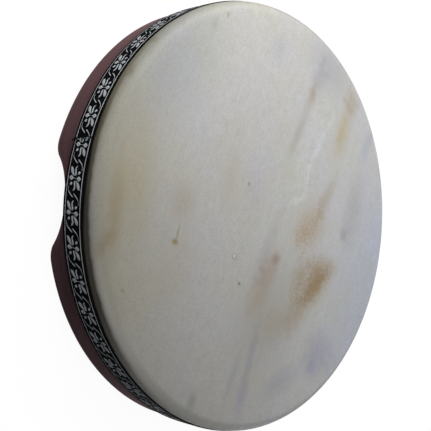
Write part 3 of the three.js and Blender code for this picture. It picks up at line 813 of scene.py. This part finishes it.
black_cotton, tree, shader = finish_named("black_ribbed_cotton")
flat = add(tree, "UVMap", uv_map="flat_map").outputs["UV"]
ribs_at = add(tree, "Mapping", {"Vector": flat, "Scale": (1 / RIB, 0, 0)}).outputs[0]
ribs = add(tree, "TexWave", {"Vector": ribs_at, "Scale": ONE_WAVE, "Distortion": 0.4}).outputs["Fac"]
lint_at = add(tree, "Mapping", {"Vector": flat, "Scale": (1 / LINT_LENGTH, 1 / LINT_WIDTH, 1)}).outputs[0]
lint = add(tree, "TexNoise", {"Vector": lint_at, "Scale": 1.0, "Detail": 3.0}).outputs["Fac"]
worn = add(tree, "Math", {0: ribs, 1: 0.4, 2: lint}, operation="MULTIPLY_ADD").outputs[0]
tone = add(tree, "ValToRGB", {"Fac": worn}, [(0.35, "#0a0b0d"), (0.95, "#15171a")]).outputs[0]
bump = add(tree, "Bump", {"Height": ribs, "Strength": 0.35, "Distance": RIB_RELIEF}).outputs[0]
wire(tree, shader, {"Base Color": tone, "Roughness": 0.88, "Normal": bump, "Specular IOR Level": 0.015})
print("cotton: ribs", RIB, "m apart")

# %% [markdown]
# The vine's thread is a smooth rayon satin. Its floats lie side by side along the ribbon, so the silver
# is brighter and darker in fine streaks that run that way. Towards +X and -X the silver is painted darker:
# that is painted shade, where the braid turns edge-on towards the outline of the drum.

# %% Satin of the braid
FLOAT_THREAD = 0.45 * MM
FLOAT_LENGTH = 6 * MM
FLOAT_RELIEF = 0.15 * MM

silver_satin, tree, shader = finish_named("silver_grey_satin_thread")
flat = add(tree, "UVMap", uv_map="flat_map").outputs["UV"]
threads_at = {"Vector": flat, "Scale": (1 / FLOAT_LENGTH, 1 / FLOAT_THREAD, 1)}
threads_at = add(tree, "Mapping", threads_at).outputs[0]
threads = add(tree, "TexNoise", {"Vector": threads_at, "Scale": 1.0, "Detail": 2.0}).outputs["Fac"]
tone = add(tree, "ValToRGB", {"Fac": threads}, [(0.25, "#ced5de"), (0.70, "#f0f6fd")]).outputs[0]
axes = add(tree, "SeparateXYZ", {0: add(tree, "TexCoord").outputs["Object"]}).outputs
# Painted shade: the silver is darker towards +X and -X, where the braid turns edge-on.
aside = add(tree, "Math", {0: axes["X"]}, operation="ABSOLUTE").outputs[0]
edge_on_shade = add(tree, "MapRange", {"Value": aside, "From Min": 0.09, "From Max": 0.185}).outputs[0]
edge_on_shade = {"Factor": edge_on_shade, 6: tone, 7: linear("#b4b5b6")}
tone = add(tree, "Mix", edge_on_shade, data_type="RGBA", blend_type="MULTIPLY").outputs[2]
bump = add(tree, "Bump", {"Height": threads, "Strength": 0.3, "Distance": FLOAT_RELIEF}).outputs[0]
wire(tree, shader, {"Base Color": tone, "Roughness": 0.42, "Normal": bump, "Specular IOR Level": 0.02})
print("satin: floats", FLOAT_THREAD, "m wide")

# %% [markdown]
# The ground itself is the ribbon's flat section with two rounded selvedges, swept along the path in
# half-degree rows. Its last row is the cut end at the lap. Scissors never cut a ribbon quite clean, so
# the points of that row stand back by small random amounts.

# %% Braid ground
SELVEDGE = 0.3 * MM
SELVEDGE_RISE = 0.45 * BRAID_THICKNESS
BRAID_ROWS = 728
BRAID_COLUMNS = 12
CUT_UNEVEN = 0.4 * MM


def braid_ground():
    """The black ground of the ribbon, once round the drum."""
    flat_half = BRAID_HALF - SELVEDGE
    face = [flat_half - 2 * flat_half * step / BRAID_COLUMNS for step in range(BRAID_COLUMNS + 1)]
    section = [(-flat_half, 0), (flat_half, 0), (BRAID_HALF, SELVEDGE_RISE)]
    section += [(across, BRAID_THICKNESS) for across in face] + [(-BRAID_HALF, SELVEDGE_RISE)]
    sweep = BRAID_LAST_END - BRAID_FIRST_END
    turns = [BRAID_FIRST_END + sweep * step / BRAID_ROWS for step in range(BRAID_ROWS + 1)]
    chance = random.Random(4)
    rows = []
    for turn in turns:
        uneven = CUT_UNEVEN / BRAID_RADIUS if turn == turns[-1] else 0.0
        rows.append([on_braid(turn + uneven * chance.uniform(-1, 0), *spot) for spot in section])
    along = [along_braid(turn) for turn in turns]
    points, faces, flat_map = swept(rows, False, True, along, lengths(section))
    for end in end_faces(len(points), len(section)):
        faces.append(end[::-1])
        flat_map.append([(0.0, 0.0)] * len(section))
    return piece("braid_ground", points, faces, flat_map, sharp=50)


braid = braid_ground()
braid.data.materials.append(black_cotton)
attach(braid, "drum")
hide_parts("trim_braid")
print("braid ground", len(braid.data.polygons), "faces")

# %% [markdown]
# ## The vine
# The vine repeats every 26.2 mm, and each repeat looks the same when turned by half a turn: two buds, two
# pairs of leaves, two small buds and two tendrils that hook into the next repeat. So only one half is
# written down, as outlines in millimetres from the middle of the repeat (along the braid, towards the
# skin), and the other half is the same outline turned. A smooth curve through a few points gives each
# leaf its round form.

# %% Outlines of one half of the vine
VINE_REPEAT = math.radians(7.843)
VINE_FIRST = math.radians(-102.65)
VINE_FROM = BRAID_LAST_END - 2 * math.pi + 0.0015
VINE_TO = BRAID_LAST_END - 0.003
BUD = [(0.95, 7.5), (1.9, 6.4), (2.55, 5.1), (1.9, 3.7), (0.75, 2.4), (0.15, 1.6), (-0.3, 2.6)]
BUD += [(-0.85, 3.6), (-1.15, 4.7), (-0.45, 6.1)]
BROAD_LEAF = [(1.9, 1.5), (3.0, 3.5), (4.4, 5.5), (6.3, 6.75), (8.3, 7.1), (9.35, 6.9), (9.1, 5.6)]
BROAD_LEAF += [(8.1, 4.3), (6.6, 3.35), (4.6, 2.75), (3.0, 2.05)]
HOOKED_LEAF = [(1.9, 0.35), (3.0, 0.85), (5.2, 1.15), (7.3, 1.45), (8.5, 1.0), (9.3, -0.2), (9.7, -1.2)]
HOOKED_LEAF += [(8.9, -0.35), (7.9, 0.2), (6.2, -0.2), (4.6, -0.65), (3.0, -0.85), (2.2, -0.4)]
SMALL_BUD = [(2.95, -3.15), (4.0, -3.05), (4.9, -3.6), (5.05, -4.6), (4.2, -5.9), (3.1, -5.2), (2.7, -4.2)]
TENDRIL = [(5.4, -7.15), (7.3, -7.2), (9.0, -6.6), (10.6, -5.4), (12.2, -3.5), (13.6, -1.5), (14.6, -0.2)]
STEM = [(0.3, 2.0), (0.1, 0.9), (-0.1, -0.9), (-0.3, -2.0)]
VEIN = [(0.5, 3.5), (0.7, 4.7), (1.0, 6.0)]


def curve_through(corners, closed, steps=4):
    """A smooth curve through the corners, with a number of steps between each two."""
    count = len(corners)
    curve = []
    for at in range(count if closed else count - 1):
        around = [at - 1, at, at + 1, at + 2]
        around = [i % count if closed else min(max(i, 0), count - 1) for i in around]
        a, b, c, d = (Vector(corners[i]) for i in around)
        for step in range(steps):
            t = step / steps
            bend = (2 * a - 5 * b + 4 * c - d) * t**2 + (3 * b - a - 3 * c + d) * t**3
            curve.append(tuple(b + ((c - a) * t + bend) / 2))
    return curve if closed else curve + [tuple(corners[-1])]


leaves = [curve_through(outline, True) for outline in (BUD, BROAD_LEAF, HOOKED_LEAF, SMALL_BUD)]
tendril, vein, stem = (curve_through(line, False) for line in (TENDRIL, VEIN, STEM))
print("one repeat is", round(VINE_REPEAT * BRAID_FACE_RADIUS / MM, 2), "mm")

# %% [markdown]
# In the weave a leaf is a low cushion of satin, a tendril a low ridge. An image would only colour the
# ribbon, and a displaced surface would need a very fine mesh, so both are modelled as small closed forms:
# a leaf from rings that shrink as they rise, a ridge from rows across its line. Both are drawn flat, and
# then bent round the drum by the braid's own path. What lies past the cut at the lap is squeezed up to
# it.

# %% Leaves and tendrils as low relief
RELIEF_ROOT = -0.15
LAP_SQUEEZE = 0.02
LAP_SLACK = 2.2 * MM / BRAID_RADIUS


class Relief:
    """Collects raised forms, drawn flat in millimetres on the braid, into one mesh."""

    def __init__(self):
        self.points, self.faces, self.places = [], [], []

    def put(self, middle, outline, rows):
        """Bend rows of flat (along, across, rise) points onto the braid, if their outline shows there."""
        centre = middle + sum(u for u, _ in outline) / len(outline) * MM / BRAID_FACE_RADIUS
        if not VINE_FROM - LAP_SLACK < centre < VINE_TO:
            return
        flat, faces, _ = swept(rows, False, True)
        faces += end_faces(len(flat), len(rows[0]))
        self.faces += [tuple(len(self.points) + corner for corner in face) for face in faces]
        for along, across, rise in flat:
            angle = middle + along * MM / BRAID_FACE_RADIUS
            inside = min(max(angle, VINE_FROM), VINE_TO)
            angle = inside + LAP_SQUEEZE * (angle - inside)
            self.points.append(on_braid(angle, across * MM, BRAID_THICKNESS + rise * MM))
            self.places.append((along_braid(angle), across * MM))

    def leaf(self, middle, outline, height):
        """A cushion: each ring has a share of the outline's size and its rise."""
        rings = [(1.0, RELIEF_ROOT), (1.0, 0.35 * height), (0.84, 0.8 * height), (0.5, height)]
        u, v = (sum(axis) / len(outline) for axis in zip(*outline))
        rows = [[(u + (a - u) * size, v + (b - v) * size, rise) for a, b in outline] for size, rise in rings]
        self.put(middle, outline, rows)

    def ridge(self, middle, line, halves, height):
        """A ridge along a line: halves are half-widths, spread evenly along it."""
        foot, shoulder = RELIEF_ROOT, 0.6 * height
        profile = [(1, foot), (-1, foot), (-0.8, shoulder), (0, height), (0.8, shoulder)]
        rows = []
        for at, (u, v) in enumerate(line):
            before, after = line[max(at - 1, 0)], line[min(at + 1, len(line) - 1)]
            run = Vector((after[0] - before[0], after[1] - before[1])).normalized()
            share = at / (len(line) - 1) * (len(halves) - 1)
            near = min(int(share), len(halves) - 2)
            half = halves[near] + (halves[near + 1] - halves[near]) * (share - near)
            rows.append([(u - run.y * half * side, v + run.x * half * side, rise) for side, rise in profile])
        self.put(middle, line, rows)

    def made(self, name, material):
        """The piece that all forms so far make."""
        flat_map = [[self.places[corner] for corner in face] for face in self.faces]
        raised = piece(name, self.points, self.faces, flat_map, sharp=75)
        raised.data.materials.append(material)
        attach(raised, "drum")
        return raised


print("relief stands", -RELIEF_ROOT, "mm deep in the ground")

# %% [markdown]
# The vine is now laid out repeat by repeat, and a border line on each side of it. Heights and half-widths
# are in millimetres. The relief is low, as satin floats are hardly higher than the ground they lie on.
# The buds have a dark vein each, where the black ground shows between the floats.

# %% The vine round the drum
LEAF_RISE = 0.16
TENDRIL_RISE = 0.14
TENDRIL_HALVES = (0.09, 0.09, 0.15, 0.34, 0.46, 0.44, 0.12)
VEIN_RISE = 0.22
VEIN_HALVES = (0.1, 0.24, 0.1)
STEM_RISE = 0.12
STEM_HALVES = (0.15, 0.15)
BORDER_AT = 9.45
BORDER_RISE = 0.13
BORDER_STEPS = 720
BORDERS = [(-BORDER_AT, (0.28, 0.28)), (BORDER_AT, (0.46, 0.46))]


def turned_half(outline):
    """The same outline turned by half a turn."""
    return [(-u, -v) for u, v in outline]


silver, veins = Relief(), Relief()
middle = VINE_FIRST
while middle < BRAID_LAST_END + VINE_REPEAT:
    for half in (list, turned_half):
        for outline in leaves:
            silver.leaf(middle, half(outline), LEAF_RISE)
        silver.ridge(middle, half(tendril), TENDRIL_HALVES, TENDRIL_RISE)
        veins.ridge(middle, half(vein), VEIN_HALVES, VEIN_RISE)
    silver.ridge(middle, stem, STEM_HALVES, STEM_RISE)
    middle += VINE_REPEAT

border_length = (VINE_TO - VINE_FROM) * BRAID_FACE_RADIUS / MM
for across, halves in BORDERS:
    line = [(border_length * step / BORDER_STEPS, across) for step in range(BORDER_STEPS + 1)]
    silver.ridge(VINE_FROM, line, halves, BORDER_RISE)
vine = silver.made("braid_silver_vine", silver_satin)
vine_veins = veins.made("braid_bud_veins", black_cotton)
print("vine", len(vine.data.polygons), "faces,", len(vine_veins.data.polygons), "in its veins")

# %% [markdown]
# ## Threads
# Guts and loose threads are tubes along a line of points. The helper carries a frame along the line
# without twisting it, closes both ends with a small dome, and maps each tube by its length and its way
# round, so that a twist can be drawn on it.

# %% Tube helper
DOME = [(0.35, 0.8), (0.75, 0.45)]


def tube(path, radius, sides=10, taper=1.0):
    """Points, faces and flat map of a round tube along a path, its last end at taper times the radius."""
    path = [Vector(point) for point in path]
    runs = [(b - a).normalized() for a, b in zip(path, path[1:])]
    ways = [runs[0]] + [(a + b).normalized() for a, b in zip(runs, runs[1:])] + [runs[-1]]
    side = ways[0].orthogonal().normalized()
    rings, far = [], 0.0
    for at, (point, way) in enumerate(zip(path, ways)):
        side = (side - way * side.dot(way)).normalized()
        far += (point - path[at - 1]).length if at else 0.0
        size = radius * (1 + (taper - 1) * at / (len(path) - 1))
        rings.append((point, way, side.copy(), size, far))
    first, last = rings[0], rings[-1]
    for share, size in DOME:
        rings.insert(0, (first[0] - first[1] * first[3] * share, first[1], first[2], first[3] * size, 0.0))
        rings.append((last[0] + last[1] * last[3] * share, last[1], last[2], last[3] * size, last[4]))
    turns = [2 * math.pi * i / sides for i in range(sides)]
    rows = []
    for point, way, side, size, _ in rings:
        over = way.cross(side)
        rows.append([tuple(point + (side * math.cos(t) + over * math.sin(t)) * size) for t in turns])
    around = [2 * math.pi * radius * i / sides for i in range(sides + 1)]
    points, faces, flat_map = swept(rows, False, True, [ring[4] for ring in rings], around)
    faces += end_faces(len(points), sides)
    flat_map += [[(0.0, 0.0)] * sides] * 2
    return points, faces, flat_map


def joined(name, parts, sharp=70):
    """One piece of several parts, each given by its points, faces and flat map."""
    points, faces, flat_map = [], [], []
    for some_points, some_faces, some_map in parts:
        faces += [tuple(corner + len(points) for corner in face) for face in some_faces]
        points += some_points
        flat_map += some_map
    return piece(name, points, faces, flat_map, sharp=sharp)


print("tube helper ready")

# %% [markdown]
# ## The frayed lap
# The braid's last end was cut with scissors and never sealed. A few black warp threads and some silver
# floats hang out of the cut, and a small tuft of black ones stands past the rear selvedge. Hair particles
# could do this for a whole carpet. For some fifty threads, tapered tubes on paths of their own are
# simpler, drawn from a fixed seed, so that the fray is the same in every run.

# %% Fray at the lap
FRAY_RADIUS = 0.2 * MM
FRAY_STEPS = 6
FRAY_ROOT = BRAID_LAST_END - 0.2 * MM / BRAID_RADIUS


def frayed_thread(chance, across, reach, lean):
    """A loose thread in millimetres: its start across the cut, how far it reaches, its lean rearwards."""
    path = []
    for step in range(FRAY_STEPS + 1):
        share = step / FRAY_STEPS
        ahead = (0.1 + reach * share * (1 - abs(lean) * 0.9)) * MM / BRAID_RADIUS
        back = lean * reach * share**1.3 * MM
        lift = BRAID_THICKNESS * 0.6 + math.sin(share * 2.4) * chance.uniform(0.15, 0.45) * MM
        path.append(on_braid(FRAY_ROOT + ahead, across * MM + back, lift))
    return tube(path, FRAY_RADIUS, 6, 0.5)


def tuft(chance, count, *ranges):
    """Loose threads whose start, reach and lean are each drawn from a range."""
    return [frayed_thread(chance, *(chance.uniform(*ends) for ends in ranges)) for _ in range(count)]


chance = random.Random(11)
threads = tuft(chance, 18, (-11.6, 11.6), (0.5, 1.4), (-0.3, 0.3))
threads += tuft(chance, 24, (-12.2, -10.6), (2.0, 4.8), (-1.0, -0.6))
floats = tuft(chance, 12, (-8, 8), (0.6, 1.5), (-0.4, 0.4))
fray, silver_fray = joined("braid_fray", threads), joined("braid_silver_fray", floats)
for loose, material in ((fray, black_cotton), (silver_fray, silver_satin)):
    loose.data.materials.append(material)
    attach(loose, "drum")
print("fray", len(threads), "black threads,", len(floats), "silver")

# %% [markdown]
# ## Gut
# Two gut strings lie under the head and buzz against it: they make a frame drum a bendir. Gut is twisted
# wet from many thin strips and dried under pull, so it is amber, a little glossy, and its twist stays as
# fine slanting ridges. Along a tube's flat map the twist is one sine of length and way round together.

# %% Material of the gut
GUT_RADIUS = 0.6 * MM
TWIST = 1.3 * MM
TWIST_RELIEF = 0.12 * MM
TWIST_TONE = 0.16
STRANDS = 2
STRIP_LENGTH = 14 * MM
STRIP_WIDTH = 2 * MM

twisted_gut, tree, shader = finish_named("twisted_sheep_gut")
flat = add(tree, "UVMap", uv_map="flat_map").outputs["UV"]
way = add(tree, "SeparateXYZ", {0: flat}).outputs
turn = add(tree, "Math", {0: way["Y"], 1: STRANDS / GUT_RADIUS}, operation="MULTIPLY").outputs[0]
turn = {0: way["X"], 1: 2 * math.pi / TWIST, 2: turn}
turn = add(tree, "Math", turn, operation="MULTIPLY_ADD").outputs[0]
twist = add(tree, "Math", {0: turn}, operation="SINE").outputs[0]
strip_at = add(tree, "Mapping", {"Vector": flat, "Scale": (1 / STRIP_LENGTH, 1 / STRIP_WIDTH, 1)}).outputs[0]
strip = add(tree, "TexNoise", {"Vector": strip_at, "Scale": 1.0, "Detail": 3.0}).outputs["Fac"]
amber = add(tree, "Math", {0: twist, 1: TWIST_TONE, 2: strip}, operation="MULTIPLY_ADD").outputs[0]
tone = add(tree, "ValToRGB", {"Fac": amber}, [(0.25, "#8a6a3c"), (0.75, "#cfb27c")]).outputs[0]
gloss = add(tree, "MapRange", {"Value": strip, "To Min": 0.28, "To Max": 0.48}).outputs[0]
bump = add(tree, "Bump", {"Height": twist, "Strength": 0.5, "Distance": TWIST_RELIEF}).outputs[0]
wire(tree, shader, {"Base Color": tone, "Roughness": gloss, "Normal": bump})
print("gut:", STRANDS, "strands, a ridge every", TWIST, "m")

# %% [markdown]
# ## The snares
# Each gut is one line. It starts at a cut tail, goes through its own knot, round the hitch pin, back
# through the knot, straight across under the head, and most of the way round its peg. The knot is a
# second, thinner tube wound tightly round both strands. The spare turns are wound on the peg below, go
# round with it, and end in the peg's hole. The line runs half a millimetre under the skin, so the knot
# sits low, clear of the skin. Listed points give the tail, and circles the loop, the wrap and the turns.

# %% Lines of a snare
SNARE_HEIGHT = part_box("snare_string_1")[1][2] - GUT_RADIUS
KNOT_FROM_PIN = 6 * MM
KNOT_BELOW = 0.48 * MM
KNOT_LENGTH = 3.1 * MM
KNOT_HALF = (1.15 * MM, 0.68 * MM)
KNOT_TURNS = 4
KNOT_STEPS = 24
LOOP_RADIUS = 2.15 * MM
TAIL = [(3.4, 1.0, -0.1), (2.2, 0.72, 0.0), (0.9, 0.58, 0.0), (-0.9, 0.6, 0.04), (-2.2, 0.85, 0.2)]
LEAD = [(3, 0.3, 0.1), (7, 0.08, 0.34)]
WRAP_SWEEP = 280
WRAP_STEPS = 35
WRAP_DROP = 0.4 * MM


def circle_point(middle, radius, degrees, height):
    """A point on a level circle."""
    turn = math.radians(degrees)
    return (middle.x + radius * math.cos(turn), middle.y + radius * math.sin(turn), height)


def snare_line(pin, peg, wrap_radius, side):
    """Points of a gut from its cut tail to its wrap on the peg."""
    knot_x, y, low = pin.x + KNOT_FROM_PIN, pin.y, SNARE_HEIGHT - KNOT_BELOW
    path = [(knot_x + a * MM, y + b * MM, low + c * MM) for a, b, c in TAIL]
    path += [circle_point(pin, LOOP_RADIUS, degrees, SNARE_HEIGHT) for degrees in range(78, 283, 12)]
    path += [(knot_x + a * MM, y - b * MM, low + c * MM) for a, b, c in reversed(TAIL[2:])]
    path += [(knot_x + a * MM, y - b * MM, low + c * MM) for a, b, c in LEAD]
    path += [(knot_x + 13 * MM, y, SNARE_HEIGHT), (0.0, y, SNARE_HEIGHT), (peg.x - 8 * MM, y, SNARE_HEIGHT)]
    for step in range(WRAP_STEPS + 1):
        share = step / WRAP_STEPS
        drop = WRAP_DROP * smooth_step(0.6, 1.0, share)
        path.append(circle_point(peg, wrap_radius, side * (WRAP_SWEEP * share - 90), SNARE_HEIGHT - drop))
    return path


def knot_line(pin):
    """Tight turns round both strands, flattened as the pull flattens them."""
    knot_x, low = pin.x + KNOT_FROM_PIN, SNARE_HEIGHT - KNOT_BELOW
    steps = KNOT_TURNS * KNOT_STEPS
    path = []
    for step in range(steps + 1):
        turn = 2 * math.pi * step / KNOT_STEPS
        along = (step / steps - 0.5) * KNOT_LENGTH
        y, z = KNOT_HALF[0] * math.cos(turn), KNOT_HALF[1] * math.sin(turn)
        path.append((knot_x + along, pin.y + y, low + z))
    return path


print("snares at", round(SNARE_HEIGHT, 5), "m")

# %% Snares and their spare turns
WINDING_TURNS = 3
WINDING_STEPS = 36
WINDING_PITCH = 1.75 * MM
WINDING_END = [(8, 0.12), (15, 0.5), (20, 1.1)]
KNOT_GUT_RADIUS = 0.4 * MM


def middle_of(node):
    """The middle of a node's box."""
    low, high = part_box(node)
    return (Vector(low) + Vector(high)) / 2


def winding_line(peg, wrap_radius, side):
    """The spare turns on the peg. The last end bends in to the peg's hole."""
    start = WRAP_SWEEP - 90
    path = []
    for step in range(WINDING_STEPS * WINDING_TURNS + 1):
        height = SNARE_HEIGHT - WINDING_PITCH * (1 + step / WINDING_STEPS)
        path.append(circle_point(peg, wrap_radius, side * (start + 360 / WINDING_STEPS * step), height))
    last = SNARE_HEIGHT - WINDING_PITCH * (1 + WINDING_TURNS)
    for sweep, inwards in WINDING_END:
        path.append(circle_point(peg, wrap_radius - inwards * MM, side * (start + sweep), last))
    return path


for number in (1, 2):
    pin, peg = middle_of(f"hitch_pin_{number}"), middle_of(f"snare_peg_{number}")
    side = math.copysign(1, pin.y)
    wrap_radius = abs(peg.y - pin.y)
    line = snare_line(pin, peg, wrap_radius, side)
    knot = tube(knot_line(pin), KNOT_GUT_RADIUS, 10)
    string = joined(f"gut_snare_{number}", [tube(line, GUT_RADIUS, 12), knot])
    winding = joined(f"gut_winding_{number}", [tube(winding_line(peg, wrap_radius, side), GUT_RADIUS, 12)])
    for made, body, node in ((string, "drum", "snare_string"), (winding, f"peg_{number}", "snare_winding")):
        made.data.materials.append(twisted_gut)
        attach(made, body)
        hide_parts(f"{node}_{number}")
    run = sum(math.dist(a, b) for a, b in zip(line, line[1:]))
    print("snare", number, "is", round(run, 4), "m of gut from tail to wrap")

# %% [markdown]
# ## Peg wood and block wood
# The pegs are turned from a dense dark wood and rubbed with oil, the blocks are sawn from a plainer piece
# of the shell's own wood and left without a finish. Both get the same kind of grain: a noise stretched
# along the fibres, which run along a peg and along a block. Oil and fingers make the pegs shine, the
# blocks stay dull.

# %% Materials of pegs and blocks
FIBRE_RELIEF = 0.15 * MM


def solid_wood(name, stretch, light, dark, low, high):
    """Bare wood: stretch is a grain's size in metres along x, y and z, low and high its roughness."""
    material, tree, shader = finish_named(name)
    place = add(tree, "TexCoord").outputs["Object"]
    fibres_at = add(tree, "Mapping", {"Vector": place, "Scale": [1 / size for size in stretch]}).outputs[0]
    fibres = {"Vector": fibres_at, "Scale": 1.0, "Detail": 5.0, "Distortion": 0.3}
    fibres = add(tree, "TexNoise", fibres).outputs["Fac"]
    tone = add(tree, "ValToRGB", {"Fac": fibres}, [(0.34, dark), (0.66, light)]).outputs[0]
    rough = add(tree, "MapRange", {"Value": fibres, "To Min": high, "To Max": low}).outputs[0]
    bump = add(tree, "Bump", {"Height": fibres, "Strength": 0.2, "Distance": FIBRE_RELIEF}).outputs[0]
    wire(tree, shader, {"Base Color": tone, "Roughness": rough, "Normal": bump})
    return material


peg_grain = (0.9 * MM, 0.9 * MM, 11 * MM)
block_grain = (1.1 * MM, 16 * MM, 1.1 * MM)
oiled_rosewood = solid_wood("turned_oiled_rosewood", peg_grain, "#5a3427", "#2a1512", 0.25, 0.42)
sawn_hardwood = solid_wood("sawn_bare_hardwood", block_grain, "#8a5f4c", "#5f3d31", 0.6, 0.8)
print("woods:", oiled_rosewood.name, sawn_hardwood.name)

# %% [markdown]
# ## Pegs
# A snare peg is turned like a violin's: a tapered shank that holds by friction in the block, a collar
# against the block, a thin neck, and a flat thumb piece, dished on both faces so that it sits between two
# fingers. The shank and collar are a turned section. The thumb piece is a set of ellipses, from its
# rounded rim to the dish.

# %% Forms of a peg
PEG_END_RADIUS = 3.5 * MM
PEG_TAPER = 1 / 60
PEG_COLLAR_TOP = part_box("peg_block")[0][2] - GLUE_LINE
PEG_COLLAR_DEPTH = 2.6 * MM
PEG_NECK_LENGTH = 3 * MM
PEG_THUMB = Vector((17, 6.4, 19)) * MM
PEG_SIDES = 48


def turned(profile, axis, sides):
    """A turned form as points, faces and an empty map: profile is (radius, height) from its lower end up."""
    turns = [2 * math.pi * i / sides for i in range(sides)]
    rows = [[(axis.x + r * math.cos(t), axis.y + r * math.sin(t), z) for t in turns] for r, z in profile]
    points, faces, _ = swept(rows, False, True)
    return points, faces + end_faces(len(points), sides), []


def peg_profile():
    """(radius, height) of a peg from its neck, sunk into the thumb piece, to the end of its shank."""
    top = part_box("snare_peg_1")[1][2]
    low = PEG_COLLAR_TOP - PEG_COLLAR_DEPTH
    neck = [(3.0, low - PEG_NECK_LENGTH - 3.5 * MM), (3.45, low - PEG_NECK_LENGTH), (3.15, low - 2.1 * MM)]
    neck += [(3.1, low - 1.5 * MM), (3.2, low - 0.9 * MM), (3.6, low - 0.3 * MM), (4.3, low)]
    collar = [(5.3, low), (5.75, low + 0.18 * MM), (6.0, low + 0.65 * MM), (6.0, low + 1.3 * MM)]
    collar += [(6.0, low + 1.95 * MM), (5.75, low + 2.42 * MM), (5.35, low + 2.6 * MM)]
    heights = (PEG_COLLAR_TOP, PEG_COLLAR_TOP + 0.01 * MM, top - 0.65 * MM)
    shank = [(PEG_END_RADIUS + (top - z) * PEG_TAPER, z) for z in heights]
    end = [(PEG_END_RADIUS - 0.2 * MM, top - 0.16 * MM), (PEG_END_RADIUS - 0.65 * MM, top), (0.4 * MM, top)]
    return [(r * MM, z) for r, z in neck + collar] + shank + end


def thumb_piece(axis, top):
    """Dished ellipses: each ring has a share of the outline and a share of half the thickness."""
    rings = [(0.30, -0.66), (0.62, -0.74), (0.82, -0.95), (0.92, -1.0), (0.98, -0.72), (1.0, -0.25)]
    rings += [(size, -rise) for size, rise in reversed(rings)]
    turns = [2 * math.pi * i / PEG_SIDES for i in range(PEG_SIDES)]
    half = PEG_THUMB / 2
    middle = Vector((axis.x, axis.y, top - half.z))
    rows = []
    for size, rise in rings:
        ring = [(half.x * size * math.cos(t), half.y * rise, half.z * size * math.sin(t)) for t in turns]
        rows.append([tuple(middle + Vector(point)) for point in ring])
    points, faces, _ = swept(rows, False, True)
    return points, faces + end_faces(len(points), PEG_SIDES), []


print("peg profile", len(peg_profile()), "points")

# %% Pegs
for number in (1, 2):
    axis = middle_of(f"snare_peg_{number}")
    thumb = thumb_piece(axis, PEG_COLLAR_TOP - PEG_COLLAR_DEPTH - PEG_NECK_LENGTH)
    peg = joined(f"peg_turned_{number}", [turned(peg_profile(), axis, PEG_SIDES), thumb], sharp=50)
    peg.data.materials.append(oiled_rosewood)
    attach(peg, f"peg_{number}")
    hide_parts(f"snare_peg_{number}")
    print("peg", number, len(peg.data.polygons), "faces")

# %% [markdown]
# ## Brass and steel
# The hitch pins are drawn brass wire, cut and domed with a file: bright, with brown tarnish in patches.
# The tacks are blued steel and end under the braid. Both are metals, so their colour is in the
# reflection, and the tarnish that tints it also roughens it. The pins are turned forms like the pegs.

# %% Metals and pins
PIN_SIDES = 24


def aged_metal(name, bright, dull, patch, low, high):
    """Metal with patches of tarnish: patch is their size in metres, low and high the roughness."""
    material, tree, shader = finish_named(name)
    place = add(tree, "TexCoord").outputs["Object"]
    tarnish = add(tree, "TexNoise", {"Vector": place, "Scale": 1 / patch, "Detail": 4.0}).outputs["Fac"]
    tone = add(tree, "ValToRGB", {"Fac": tarnish}, [(0.40, bright), (0.70, dull)]).outputs[0]
    rough = add(tree, "MapRange", {"Value": tarnish, "To Min": low, "To Max": high}).outputs[0]
    wire(tree, shader, {"Base Color": tone, "Roughness": rough, "Metallic": 1.0})
    return material


filed_brass = aged_metal("drawn_filed_brass", "#c8a45c", "#8a6a38", 2 * MM, 0.22, 0.45)
blued_steel = aged_metal("blued_steel", "#4a4f58", "#2c2d30", 1.5 * MM, 0.30, 0.50)
for number in (1, 2):
    axis = middle_of(f"hitch_pin_{number}")
    low, high = (corner[2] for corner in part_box(f"hitch_pin_{number}"))
    profile = [(0.5, low), (1.3, low + 0.8 * MM), (1.3, high - 0.75 * MM)]
    profile += [(1.2, high - 0.35 * MM), (0.9, high - 0.1 * MM), (0.3, high)]
    profile = [(r * MM, z) for r, z in profile]
    pin = joined(f"brass_hitch_pin_{number}", [turned(profile, axis, PIN_SIDES)], sharp=50)
    pin.data.materials.append(filed_brass)
    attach(pin, "drum")
    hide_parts(f"hitch_pin_{number}")
    print("pin", number, len(pin.data.polygons), "faces")

# %% [markdown]
# ## Tacks and blocks
# The shapes of the tacks and the two blocks are right in the frame, so they keep its own solids and only
# get their materials. A block's sharp arris is always broken with a plane, and a small bevel modifier
# does that without touching the mesh.

# %% Kept solids
ARRIS = 0.5 * MM
ARRIS_ANGLE = math.radians(50)

kept = {"peg_block": sawn_hardwood, "hitch_block": sawn_hardwood}
kept |= {node: blued_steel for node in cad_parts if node.startswith("tack_")}
for node, material in kept.items():
    solid = bpy.data.objects[node]
    solid.data.materials.clear()
    solid.data.materials.append(material)
for node in ("peg_block", "hitch_block"):
    chamfer = bpy.data.objects[node].modifiers.new("broken_arris", "BEVEL")
    chamfer.width = ARRIS
    chamfer.segments = 2
    chamfer.limit_method = "ANGLE"
    chamfer.angle_limit = ARRIS_ANGLE
print("kept solids:", len(kept))
